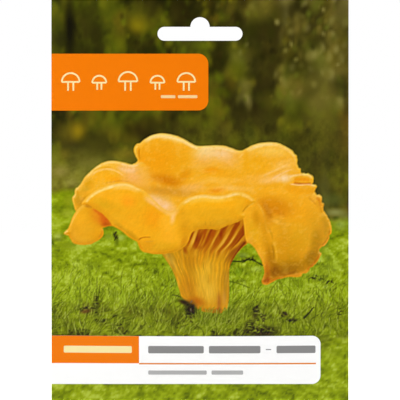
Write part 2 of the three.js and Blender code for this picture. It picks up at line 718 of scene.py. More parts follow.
class Moss:
    """The moss bank: soft far off, and sharp strand by strand near the mushroom's foot."""

    SEED = 11
    STRANDS = 6500
    TONES = [(0.15, "#525f04"), (0.35, "#758604"), (0.5, "#87990c"), (0.62, "#96a81a"), (0.8, "#aebe40")]
    HOLES = [(0.3, "#2c2b03"), (0.5, "#525704"), (0.72, "#78820c")]
    SHADED = ["#4c5804", "#667604", "#383c02", "#565f04"]
    LIT = ["#a0b428", "#93aa14", "#b2c448", "#8aa00c", "#a9b838"]
    DULL = ["#83911a", "#929f2a", "#6a760c", "#a3ad44", "#788414"]
    CLUMPS = [
        Touch("#a5ac3a", 0.6, (6, 80), (3, 2)),
        Touch("#8b9218", 0.7, (6.5, 75.5), (2.5, 3)),
        Touch("#b4c06e", 0.6, (2.4, 88.6), (2, 1.6)),
        Touch("#7f8c14", 0.7, (6, 92), (4, 2)),
        Touch("#5e6a14", 0.6, (2.5, 89.8), (2.5, 0.9)),
        Touch("#a5b555", 0.8, (26, 89), (2, 1.4)),
        Touch("#92a43a", 0.6, (21.5, 88.8), (1.8, 1.4)),
        Touch("#3a3d08", 0.85, (24.2, 88.6), (0.9, 2.2), -20),
        Touch("#5b6a0c", 0.7, (24.4, 91), (1, 1.4)),
        Touch("#b6c85c", 0.7, (76.4, 100.6), (3, 1.4)),
        Touch("#8c9f50", 0.6, (71.5, 95.4), (2.4, 1.2)),
        Touch("#6e8a12", 0.8, (69.6, 101.6), (1.6, 1.8)),
        Touch("#98a870", 0.5, (108, 84), (3, 3)),
        Touch("#c2d068", 0.8, (98.6, 107), (1.9, 0.7)),
        Touch("#b9ca5c", 0.7, (102.4, 107.4), (1.4, 0.8)),
        Touch("#b4c656", 0.6, (99, 97.5), (1.2, 2.4), 40),
        Touch("#5f7310", 0.6, (103.6, 96.6), (1.4, 1.2)),
        Touch("#3c4a10", 0.9, (99.8, 104.6), (1, 0.6), 30),
        Touch("#4f5c14", 0.8, (98.6, 103.2), (0.9, 0.6)),
        Touch("#a9bd48", 0.5, (106, 100), (3, 3)),
        Touch("#7b8f16", 0.6, (92, 107), (4, 2.5)),
    ]
    HOLLOWS = [
        Touch("#4c4a10", 0.75, (77.4, 117.2), (3, 2.6)),
        Touch("#54480e", 0.6, (87, 117.6), (2.4, 1.2), 20),
        Touch("#2e3408", 0.8, (89.8, 119.7), (2.6, 0.8)),
        Touch("#3c3e08", 0.85, (16.9, 113), (0.9, 3)),
        Touch("#56300f", 0.8, (12.8, 116.5), (1.7, 0.8), -10),
        Touch("#3a300c", 0.7, (26.4, 122.4), (1, 1.8)),
        Touch("#55600c", 0.6, (36, 111.5), (9, 3)),
        Touch("#565407", 0.7, (17, 114.6), (5, 3)),
        Touch("#4b4808", 0.8, (31, 116.5), (5, 2.6)),
        Touch("#57550c", 0.7, (42, 116.4), (6, 3)),
        Touch("#5c5a10", 0.5, (48, 118), (4, 3)),
        Touch("#434012", 0.8, (14.8, 116.4), (2.4, 1.1)),
        Touch("#4f4110", 0.7, (13, 114.6), (1.4, 1.8)),
        Touch("#6f7d12", 0.5, (20, 110.4), (8, 2)),
    ]
    SOIL = [
        Touch("#150e04", 1, (79.2, 123.8), (6, 2.4)),
        Touch("#1c1306", 0.95, (74, 121.8), (1.9, 2.6), 25),
        Touch("#2c200c", 0.8, (76.2, 116.8), (1.3, 2.8), 15),
        Touch("#3a3008", 0.6, (86.6, 117.4), (1.7, 0.8), 20),
        Touch("#2e3008", 0.6, (89.8, 119.7), (2.4, 0.6)),
        Touch("#33320a", 0.8, (16.9, 113.2), (1, 3.2)),
        Touch("#5a3210", 0.8, (12.9, 116.5), (2.2, 0.9), -10),
    ]
    BARK = ["#1c180a", "#2c2410", "#120f06", "#3c3018", "#242408", "#4a3a1c"]
    HEAPS = [
        (52.0, 116.4, 1.5, 2.0, 16),
        (76.4, 115.6, 1.2, 1.6, 11),
        (78.6, 118.6, 2.0, 1.4, 12),
        (77.6, 124.0, 4.4, 1.5, 44),
        (86.4, 117.3, 1.4, 0.8, 8),
        (90.2, 119.7, 2.0, 0.7, 9),
        (13.8, 115.4, 2.2, 1.6, 12),
        (17.0, 112.6, 0.9, 2.6, 7),
        (74.2, 97.0, 2.6, 0.8, 12),
        (24.2, 88.4, 0.7, 2.0, 8),
        (98.6, 103.8, 1.6, 0.8, 7),
        (104.0, 105.0, 1.2, 0.8, 4),
        (107.6, 117.0, 1.0, 1.4, 4),
        (26.0, 121.6, 1.0, 1.4, 5),
    ]
    SPRIGS = [
        (79.0, 122.6, 9.0, 2.6, 34),
        (74.4, 121.4, 3.0, 3.0, 10),
        (76.4, 117.0, 2.4, 3.0, 8),
        (53.0, 117.4, 3.0, 1.6, 12),
        (17.0, 113.4, 1.8, 3.6, 9),
    ]
    LITTER = [
        Stroke("#2c330c", 0.9, 0.5, [(66.8, 97.6), (70.5, 97.8), (74.4, 97.2), (78.8, 99.2)], 0.5),
        Stroke("#4f5a0e", 0.85, 0.42, [(66.6, 105.2), (70, 106), (73.8, 107.6)], 0.3),
        Stroke("#3f4210", 0.9, 0.42, [(45.2, 110.2), (47.4, 110.6), (50.2, 111.8)], 0.4),
        Stroke("#26260e", 0.9, 0.75, [(94.3, 118.9), (96, 117.2), (97.9, 115)], 0.35),
    ]

    def paint(self, canvas: Canvas) -> None:
        """Paints the bank over the foot of the wood.

        Args:
            canvas: The canvas to paint on.
        """
        x, y = canvas.places()
        noise = Noise(self.SEED)
        edge = 71.5 + 11 * smooth(6, 108, x) + 2 * (noise.clouds(x / 5, y * 0 + 3) - 0.5)
        cover = smooth(-1.6, 1.8, y - edge)
        focus = smooth(78, 100, y)
        soft = noise.clouds(x / 4.2, y / 2.6)
        clump = noise.clouds(x / 2.1 + 31, y / 1.5 + 12)
        tuft = noise.clouds(x / 0.8 + 7, y / 0.95 + 3, 3)
        value = 0.5 + (soft - 0.5) * 0.65 + (tuft - 0.5) * 0.3 * focus
        value += (clump - 0.5) * (0.28 + 0.45 * focus)
        canvas.lay(ramp(value, self.TONES), cover)
        canvas.touch_in(self.CLUMPS, cover)
        # gaps of shade between the near strands
        shade = smooth(108, 121, y) * (1 - smooth(127, 135, y)) * (1 - 0.6 * smooth(72, 92, x))
        gap = noise.clouds(x / 3.4 + 50, y / 2 + 8)
        canvas.lay(ramp(gap, self.HOLES), cover * shade * (0.35 + 0.55 * smooth(0.42, 0.66, 1 - gap)))
        canvas.touch_in(self.HOLLOWS)
        self._strands(canvas)
        canvas.touch_in(self.SOIL)
        self._crumbs(canvas, self.HEAPS, self.BARK)
        self._crumbs(canvas, self.SPRIGS, self.DULL)
        canvas.touch_in(self.LITTER)

    def _strands(self, canvas: Canvas) -> None:
        """Draws the strands one by one, in tufts that lean together, from the far ones to the near ones.

        Args:
            canvas: The canvas to paint on.
        """
        draw = np.random.RandomState(self.SEED)
        noise = Noise(self.SEED + 1)
        places = sorted(
            (
                84 + 42 * draw.rand() ** 0.75 if draw.rand() > 0.12 else draw.uniform(142, 151),
                draw.uniform(-1, 112),
            )
            for _ in range(self.STRANDS)
        )
        for y, x in places:
            if y < 77 + 8 * x / canvas.width:
                continue
            near = smooth(92, 114, y) * (1 - smooth(128, 142, y))
            length = draw.uniform(0.8, 1.6) * (1 + 2.4 * near)
            tuft = float(noise.clouds(np.array(x / 3.5), np.array(y / 3.0), 2)) - 0.5
            lean = 2.6 * tuft - 0.25 + draw.normal(0, 0.32)
            bend = draw.normal(0, 0.25)
            tip = (x - length * np.sin(lean), y - length * np.cos(lean))
            middle = ((x + tip[0]) / 2 + bend * length * 0.35, (y + tip[1]) / 2)
            shade = smooth(110, 120, y) * (1 - smooth(128, 136, y))
            if draw.rand() < 0.32 + 0.1 * shade:
                colours, strength = self.SHADED, draw.uniform(0.3, 0.65)
            else:
                colours, strength = self.DULL if shade > 0.5 else self.LIT, draw.uniform(0.3, 0.75)
            colour = colours[draw.randint(len(colours))]
            width = draw.uniform(0.22, 0.36) + 0.06 * near
            strand = Stroke(colour, strength * (0.18 + 0.82 * near), width, [(x, y), middle, tip], width / 2)
            strand.paint(canvas, canvas.all_over)

    def _crumbs(self, canvas: Canvas, heaps: Sequence[tuple], colours: Sequence[str]) -> None:
        """Draws heaps of short strokes, such as crumbs of bark or the sprigs that poke through them.

        Args:
            canvas: The canvas.
            heaps: Each heap's place across and down, its width and height, and how many strokes it has.
            colours: The strokes' hex colours.
        """
        draw = np.random.RandomState(self.SEED + 2)
        for x, y, wide, tall, count in heaps:
            for _ in range(count):
                start = draw.normal(x, wide / 2), draw.normal(y, tall / 2)
                turn, length = draw.uniform(0, math.pi), draw.uniform(0.5, 1.7)
                end = start[0] + length * math.cos(turn), start[1] + length * math.sin(turn) * 0.7
                colour = colours[draw.randint(len(colours))]
                crumb = Stroke(colour, draw.uniform(0.5, 0.95), draw.uniform(0.3, 0.6), [start, end], 0.2)
                crumb.paint(canvas, canvas.all_over)


class Chanterelle:
    """The mushroom: a funnel cap with a wavy rim over false gills that run down a stout stem."""

    CAP_TOUCHES = [
        # basin and back wall
        Touch("#f2a418", 0.9, (42, 60), (9, 7)),
        Touch("#e08f12", 0.75, (43.5, 67.2), (6, 2.6), 14),
        Touch("#eda535", 0.6, (36, 66.5), (4, 3.5)),
        Touch("#f0a71c", 0.8, (50, 62), (6, 5)),
        Touch("#f3b54e", 0.7, (33, 66), (4, 4.5)),
        Touch("#f5ba66", 0.6, (33.5, 64.5), (2.2, 3), 30),
        Touch("#dd982a", 0.85, (42, 71.6), (9, 2.2), 4),
        Touch("#dc9a33", 0.5, (50, 72), (5, 2), -4),
        Touch("#eab052", 0.7, (40, 74), (6, 1.6), 14),
        Touch("#f7c07c", 0.95, (42, 76.8), (5.2, 2.2), 24),
        Touch("#f4bb72", 0.6, (37.5, 74.6), (3.5, 1.3), 20),
        # back rim
        Touch("#f6c874", 0.85, (57.5, 57.2), (5.5, 2.9)),
        Touch("#f7c57e", 0.85, (64, 58), (5, 2.9), 6),
        Touch("#f5b453", 0.7, (67, 60.5), (5, 3)),
        Touch("#f4b23f", 0.6, (57, 62.5), (7, 2.5)),
        Touch("#f6a516", 0.6, (61, 64.5), (4.5, 1.4)),
        Touch("#f9b840", 0.75, (61, 67.8), (9, 1.5)),
        Touch("#f6a422", 0.7, (62.5, 71), (3.5, 1), -4),
        Touch("#f8bb52", 0.7, (68, 70.7), (8, 1.3), 2),
        Touch("#f2ad3a", 0.5, (54, 70.8), (5, 1.4)),
        # back right lobe
        Touch("#f9c14e", 0.8, (82.5, 56.5), (9, 2.6)),
        Touch("#f4ac1c", 0.85, (75, 61.4), (6.5, 3.2)),
        Touch("#f6ae1f", 0.5, (80, 63.5), (5, 2)),
        Touch("#f9bd58", 0.7, (86.5, 62.5), (5, 3.2), -15),
        Touch("#f7b44a", 0.6, (80, 66.8), (10, 2), -6),
        Touch("#fbbf66", 0.6, (82.5, 67.6), (5.5, 1.4), -14),
        Touch("#fad095", 0.7, (87, 67), (3, 1.7), -8),
        Stroke("#fcc97e", 0.32, 0.8, [(77, 66.8), (83, 64.2), (88, 61.8), (91, 60.6)], 0.5, 0.3),
        Stroke("#fcc98a", 0.38, 0.7, [(80.5, 68.6), (84, 66.2), (88.5, 64), (92, 63.4)], 0.5, 0.3),
        Stroke("#f0a530", 0.45, 0.45, [(82, 65.8), (86, 63.8), (90, 62.4)], 0.3, 0.3),
        # tab and its fold
        Stroke("#f29d16", 0.95, 1.1, [(90.3, 67.4), (93.5, 67.3), (96.6, 67.5)], 1.2, 0.1),
        Stroke("#fbd48c", 0.5, 0.84, [(88, 66.6), (90.5, 65.9), (94, 65.5), (96.2, 65.9), (97.4, 67.2)], 0.5,
               0.12),
        Stroke("#d07a0e", 0.7, 0.95, [(90, 68.5), (93.5, 69), (97.4, 68.9)], 0.8, 0.15),
        Stroke("#fbc572", 0.85, 0.55, [(88.5, 68.9), (92, 69.4), (96.5, 69.3), (98.8, 70.1)], 0.45, 0.15),
        # right drooping lobe
        Touch("#f8ae24", 0.8, (84, 71.8), (8, 1.8), 2),
        Touch("#f5a516", 0.8, (91.5, 71.5), (4.5, 1.7), 8),
        Touch("#f0a318", 0.6, (96.5, 72), (3.2, 1.6), 30),
        Touch("#f3a81c", 0.9, (92, 80), (6.5, 7.5)),
        Touch("#e39312", 0.8, (83.2, 77.7), (5.6, 3), 18),
        Touch("#d98410", 0.6, (84.5, 79.4), (3.4, 1.2), 28),
        Touch("#e2921a", 0.6, (79.5, 76.2), (2.6, 1.6), 20),
        Touch("#e4a11c", 0.8, (98.5, 84), (4, 7)),
        Touch("#e2a31a", 0.75, (92, 89), (9, 6)),
        Touch("#e6a11a", 0.6, (84.5, 85.5), (4.5, 4)),
        Touch("#dc9a12", 0.75, (88, 93), (9, 4.5)),
        Touch("#c98c0c", 0.8, (88.5, 98), (10, 3.6)),
        Touch("#ae760a", 0.9, (88, 101.2), (9, 3), -8),
        Touch("#b47c0c", 0.8, (97.5, 96), (2.6, 5), 32),
        Touch("#c68e10", 0.75, (98.8, 90.5), (2.2, 5.5), 6),
        Touch("#e8a226", 0.7, (84.5, 82.6), (3.4, 1.6), 30),
        Stroke("#f6b740", 0.8, 1.1, [(79.9, 80.2), (82, 82.3), (85.5, 83.4)], 1.4, 0.25),
        # left flap of the right lobe
        Touch("#e9a81c", 0.9, (75.5, 86.5), (3.2, 5.5), -12),
        Touch("#dc9412", 0.85, (76.6, 81.8), (1.8, 3.6), -10),
        Touch("#dc9612", 0.7, (80.2, 91), (2.2, 5), -14),
        Touch("#c4820c", 0.85, (81.6, 96.5), (1.6, 4.5), -8),
        Touch("#a56806", 0.85, (83.2, 101.5), (2.6, 3.5), -10),
        Touch("#cf7c14", 0.9, (80.4, 101.5), (1.3, 4.2), -4),
        Touch("#b9560c", 0.9, (80.2, 105), (2, 1.3)),
        Stroke("#9c6205", 0.5, 1.5, [(84.5, 103.4), (88.5, 102.6), (92, 101.2)], 1.2, 0.25),
        Stroke("#f4b43c", 0.75, 0.75, [(76.4, 75.8), (78.3, 78.3), (79.5, 81.6), (80, 85), (80.8, 87.6)],
               0.5, 0.12),
        Stroke("#e9ab2a", 0.7, 0.6, [(82.4, 89.6), (83.4, 92), (84, 95), (84.2, 98.4)], 0.5, 0.3),
        Stroke("#b87d0c", 0.55, 0.8, [(82, 90.5), (82.8, 94), (83, 98)], 0.7, 0.3),
        Stroke("#c88a10", 0.35, 0.8, [(80.8, 84.5), (82.2, 88), (82.6, 90.5)], 0.6, 0.3),
        # rims
        Stroke("#ffe9b4", 0.52, 1.55, [(34.2, 53.6), (37.6, 51.6), (41, 51.1), (45, 51.6), (49.2, 53.1),
               (53, 55.2), (56, 56.0)], 1.0, 0.12),
        Stroke("#fdd98a", 0.33, 1.62, [(40, 51.8), (45, 52.4), (50, 54.5)], 1.2, 0.3),
        Stroke("#fbdc98", 0.44, 1.22, [(54, 55.6), (58, 55.7), (62, 55.5), (66, 56.2), (69.5, 57.4)], 0.8,
               0.15),
        Stroke("#fde2a0", 0.5, 1.35, [(72.4, 56.8), (75.5, 55.4), (79, 54.5), (82.5, 54.2), (85.5, 54.9)], 1,
               0.15),
        Stroke("#f9cf78", 0.44, 1.15, [(84.5, 54.6), (88, 56.2), (90.4, 58.6), (91.3, 61.4)], 0.5, 0.15),
        Stroke("#f9c66a", 0.4, 0.8, [(72, 57.2), (71, 58.4), (69.5, 59.8)], 0.5, 0.4),
        Stroke("#d98812", 0.8, 0.5, [(32.9, 55.6), (32.8, 57.5), (33.2, 60.4)], 0.4, 0.2),
        Stroke("#f3c350", 0.85, 0.7, [(32.3, 54.6), (31.5, 56.2), (31.9, 58.6), (32.6, 60.2)], 0.4, 0.1),
        Touch("#f0a11c", 0.6, (34.5, 60), (1.6, 4)),
        # right hand jagged edge
        Stroke("#cf7d14", 0.8, 0.55, [(104, 85), (103.6, 88), (102.6, 90.2), (100.8, 92.2)], 0.5, 0.1),
        Stroke("#c2640f", 0.9, 0.6, [(100.2, 95.4), (99, 97.2), (97.4, 99.2), (95.2, 101.2)], 0.7, 0.1),
        Stroke("#e29a26", 0.85, 0.9, [(96, 100.8), (93.4, 102.2), (90, 102.9), (87, 103.4)], 0.5, 0.15),
        Stroke("#c46a12", 0.8, 0.6, [(86.5, 103.7), (83.5, 104.4), (81.5, 105.4)], 0.5, 0.1),
        Stroke("#e48a14", 0.8, 0.9, [(98.6, 73.8), (100.2, 75.4), (100.4, 77.6)], 0.7, 0.2),
        Stroke("#dd8f18", 0.5, 0.8, [(95.5, 73.6), (97.6, 75.4), (99.4, 77.4)], 0.5, 0.3),
        Stroke("#f3bd58", 0.8, 0.45, [(98.9, 73.2), (100.5, 73.9), (101, 75.2)], 0.4, 0.1),
        Stroke("#e8b040", 0.55, 0.5, [(101.4, 77.6), (102.8, 80.8), (103.9, 83.6)], 0.4, 0.2),
        # form shading over the whole cap
        Touch("#f2a012", 0.6, (39.5, 60.5), (7, 6)),
        Touch("#de880c", 0.8, (43, 67.8), (5.6, 1.7), 14),
        Touch("#e4920f", 0.6, (49.6, 66), (3.2, 1.8), -42),
        Touch("#f59c10", 0.55, (59.5, 63.8), (3.4, 1.2), -6),
        Touch("#ee9216", 0.5, (61.5, 71.6), (3.2, 1), -8),
        Touch("#f3b565", 0.5, (52.5, 70), (4.5, 1.6), -6),
        Touch("#f4b768", 0.45, (57, 60), (4.2, 2.2)),
        Touch("#e0900f", 0.7, (84.2, 77.2), (7.4, 3.6), 18),
        Touch("#d88c14", 0.75, (80.8, 80.8), (2.2, 3.6), -16),
        Touch("#d99212", 0.6, (79.4, 84.6), (1.8, 3.4), -12),
        Stroke("#cb7c0e", 0.5, 1.9, [(78.6, 76), (80.8, 78.8), (82, 82.6)], 1.5, 0.25),
        Touch("#c8900f", 0.7, (102.6, 84.5), (2.2, 7)),
        Touch("#c98c10", 0.6, (99.6, 90.5), (2.6, 4.5), 18),
        Touch("#b67e0c", 0.7, (97.4, 97), (2.4, 4), 36),
        Touch("#d58a12", 0.6, (101, 77), (1.6, 3.2), -22),
        Touch("#b06a0a", 0.8, (79.6, 103), (1.8, 3), -4),
        Touch("#e39a18", 0.5, (86.5, 91), (3, 6), 4),
    ]
    CAP = Lobe(
        outline=[
            (30, 62.6), (31.6, 61.2), (32.3, 60.2), (31.5, 58.5), (30.9, 56.8), (31.1, 55.2), (32, 54.1),
            (33.2, 53.8), (35, 52.3), (37.5, 50.9), (40.5, 50.3), (43.5, 50.4), (46.5, 51.1), (49.5, 52.3),
            (52.5, 54.1), (54.8, 54.9), (58, 54.9), (62, 54.7), (65, 55), (67.5, 55.8), (69.5, 56.6),
            (71.2, 56.6), (72.8, 55.8), (75, 54.7), (78, 53.8), (81.5, 53.5), (84.5, 53.8), (87, 54.9),
            (89.7, 56.5), (91.3, 58.5), (91.9, 60.5), (92.1, 62.2), (93, 64.2), (93.5, 65.1), (95.2, 65.1),
            (96.8, 65.8), (97.7, 67), (98, 68.2), (97.8, 69), (98.7, 69.5), (99.2, 70.1), (98.5, 70.9),
            (98.1, 71.7), (98.6, 72.6), (99.8, 73), (100.8, 73.6), (101.3, 74.8), (101.1, 76), (101.8, 78.4),
            (103, 81), (104.2, 83.4), (104.5, 85.5), (104.1, 88), (103.3, 90.3), (102.1, 91.7),
            (100.9, 92.8), (100.3, 93.9), (100.8, 95.3), (99.7, 97), (98.2, 99), (96.2, 101), (94, 102.4),
            (91.5, 103.4), (88.5, 103.5), (86.5, 104), (84.5, 104.3), (82.5, 105.4), (80.6, 106.4),
            (78.9, 106.2), (78.4, 105), (79, 103.6), (79.4, 101.8), (79.1, 99.6), (78.3, 97.4), (77, 95),
            (75.6, 92.6), (74.2, 91.2), (72.9, 90.6), (72.3, 88.6), (71.8, 85), (71.5, 82), (71.2, 80.4),
            (70.4, 78.5), (60, 80), (45, 84), (34, 80), (29, 70),
        ],
        flesh="#f4ac24",
        touches=CAP_TOUCHES,
        skin=Skin("#f7c07c", "#ec9a18", 0.17, 0.0527, (1.9, 1.5), 31),
        depth_of_tone=1.4,
        crinkled_from=88.0,
    )

    BACK_LEFT_TOUCHES = [
        Touch("#f8ae1c", 0.9, (20.5, 66.6), (6.5, 2), -3),
        Touch("#e2a114", 0.8, (13.5, 68.6), (2.4, 2.2), -30),
        Touch("#cf981a", 0.8, (9.8, 74.6), (1.6, 3.4)),
        Touch("#d9a024", 0.7, (12.5, 71.2), (2.5, 1.4), -35),
        Touch("#ce8c10", 0.8, (12, 75.5), (3, 1.6), -50),
        Touch("#f4b05a", 0.9, (31, 66.6), (5.5, 3.4), 15),
        Touch("#f7c27e", 0.85, (27.8, 63.4), (4.2, 1.5), 14),
        Touch("#f6be80", 0.6, (31.2, 63.4), (3, 1.4)),
        Touch("#f0a94a", 0.6, (35.2, 68.4), (3.4, 2.6), 10),
        Touch("#e9a33a", 0.7, (37, 70.6), (3.6, 1.6), 12),
        Touch("#f8a41a", 0.6, (24.2, 67.4), (3.6, 1), 6),
        Stroke("#f6b731", 0.8, 0.9, [(15.5, 64.8), (18.5, 62.8), (22, 62.2), (25.5, 63)], 0.7, 0.2),
        Stroke("#fbd68e", 0.47, 0.81, [(12.9, 66.8), (16.4, 63.4), (19.6, 61.6), (23, 61), (26.6, 61.4)],
               0.6, 0.12),
        Stroke("#f8cc92", 0.7, 0.6, [(25.5, 61.2), (28.6, 62.2), (31.4, 62.3), (33, 61.4)], 0.5, 0.15),
        Stroke("#fdcf80", 0.5, 0.84, [(14.4, 66.2), (17, 64.4), (20.4, 63.5), (23.4, 63.9), (26, 65.2),
               (28, 66.6)], 0.5, 0.15),
        Stroke("#e9a21c", 0.6, 0.5, [(14.8, 65), (17.2, 63.4), (20.4, 62.7), (23.6, 63)], 0.4, 0.25),
        Stroke("#e6c04c", 0.8, 0.5, [(11, 69.4), (9.4, 71), (9, 73), (8.2, 74.6), (8.6, 77)], 0.4, 0.1),
        Stroke("#e0982a", 0.45, 0.6, [(19, 69.2), (23, 68.2), (27, 67.9), (30.5, 68.8)], 0.5, 0.3),
    ]
    BACK_LEFT = Lobe(
        outline=[
            (34.5, 61), (31.6, 61.7), (29.5, 61.7), (27, 61), (24, 60.5), (21.5, 60.5), (19, 61.2),
            (16.5, 62.8), (14, 65), (12.3, 66.8), (11, 69), (10, 70.2), (9.2, 70.6), (8.8, 71.6),
            (8.7, 72.8), (7.9, 74), (7.9, 75.4), (8.5, 77.4), (9.2, 79), (12, 80), (22, 76), (34, 75),
            (38, 72), (37.4, 66),
        ],
        flesh="#f2ae28",
        touches=BACK_LEFT_TOUCHES,
        skin=Skin("#f7c07c", "#ec9a18", 0.2, 0.0558, (1.9, 1.5), 34),
        melts=(30.0, 38.5),
    )

    CURL_TOUCHES = [
        Touch("#f0a91a", 0.8, (10.6, 81.6), (3.2, 4), -20),
        Touch("#e4a01c", 0.7, (8.6, 87.4), (2.4, 2.4)),
        Touch("#e2a322", 0.7, (12, 90.2), (5, 1.6)),
        Touch("#e6a41e", 0.7, (14, 86.2), (3.2, 3)),
        Touch("#e38c14", 0.85, (17.4, 81.2), (2.6, 3.6), -35),
        Touch("#d3640e", 0.95, (20.4, 82.6), (2.6, 2.4), 30),
        Touch("#b9440a", 0.85, (20.8, 84.2), (1.9, 0.9), 0),
        Stroke("#d9700f", 0.9, 1.5, [(15, 77.8), (18.2, 79.8), (20.8, 82)], 1.6, 0.3),
        Touch("#c07810", 0.85, (13.8, 77.2), (1.6, 0.8), 15),
        Stroke("#d98a14", 0.8, 0.9, [(18.9, 85.4), (19, 87.4), (17.6, 89.4)], 0.7, 0.2),
        Stroke("#f4c860", 0.8, 0.5, [(6.2, 86.4), (5.1, 87.4), (6.6, 88.2)], 0.4, 0.1),
        Stroke("#f7c24e", 0.5, 0.5, [(10.4, 78.7), (8.4, 81.8), (6.9, 85.2)], 0.4, 0.2),
    ]
    CURL = Lobe(
        outline=[
            (13.4, 75.4), (11.2, 77.3), (9.4, 79), (8, 81.3), (7, 83.7), (6.2, 85.6), (5.2, 86.6),
            (4.6, 87.4), (5.3, 88), (6.4, 88.4), (7.2, 89.8), (8.5, 91.2), (11.5, 91.7), (14.5, 91.5),
            (16.5, 90.6), (18.5, 89.4), (19.6, 87.9), (19.6, 86.4), (19.3, 85.5), (20.2, 85.1), (21.4, 84.7),
            (23, 84.7), (24.5, 84), (23, 80), (17, 75.6),
        ],
        flesh="#e49e12",
        touches=CURL_TOUCHES,
        skin=Skin("#fbba38", "#ee9a10", 0.12, 0.0372, (2.1, 2.2), 35),
    )

    STEM_TOUCHES = [
        Touch("#dba424", 0.8, (57.5, 104.5), (4.5, 8)),
        Touch("#dfa82a", 0.7, (59, 109.5), (4, 4)),
        Touch("#c8860e", 0.8, (51.5, 107.5), (3, 5), -10),
        Touch("#c9992c", 0.8, (44.8, 98.2), (1.8, 4.5), -30),
        Touch("#bd9026", 0.8, (43.4, 95.8), (3, 1.6), 20),
        Touch("#c9860f", 0.6, (53, 97), (6, 3)),
        Stroke("#a87c14", 0.8, 0.7, [(66, 114), (66.2, 108), (66, 103), (66.2, 100)], 0.6, 0.15),
        Stroke("#b98418", 0.6, 1.6, [(64.8, 113), (64.9, 106), (64.8, 100)], 1.2, 0.2),
        Stroke("#b08a20", 0.7, 0.5, [(42.4, 96.4), (45.2, 101), (47.2, 106.6), (48.4, 110.4)], 0.5, 0.1),
        Touch("#bd7008", 0.85, (54.4, 112.6), (3.4, 1.9), 20),
        Touch("#b8741a", 0.8, (62.6, 112.6), (1.1, 3.6)),
        Touch("#cf9430", 0.6, (64.4, 111.6), (0.9, 3.2)),
        Touch("#8c5e0c", 0.85, (60, 116.8), (6.5, 1.5), 4),
        Touch("#a4561c", 0.75, (62.6, 116.2), (1.2, 1.4)),
    ]
    STEM = Lobe(
        outline=[
            (41.4, 94.2), (42.6, 96.6), (44, 98.7), (45.3, 101), (46.4, 103.6), (47.3, 106.4), (48, 109),
            (48.6, 110.8), (50, 112.2), (51.6, 113.4), (53.5, 114.4), (55, 115.6), (57, 116.4), (60, 116.9),
            (62.7, 117.2), (64.4, 116.2), (65.6, 115.2), (66.1, 112), (66.3, 108), (66.2, 104), (66.3, 101),
            (66.9, 98.6), (68.2, 96.3), (70, 93.9), (71.6, 92.2), (73.2, 90.8), (74, 88), (73, 81), (66, 80),
            (50, 82), (42, 88),
        ],
        flesh="#cf9212",
        touches=STEM_TOUCHES,
        skin=Skin("#dfa83a", "#c47e10", 0.25, 0.0558, (1.4, 5.0), 33),
        depth_of_tone=1.6,
        rim_light=0.0,
        under_shade=0.3,
    )

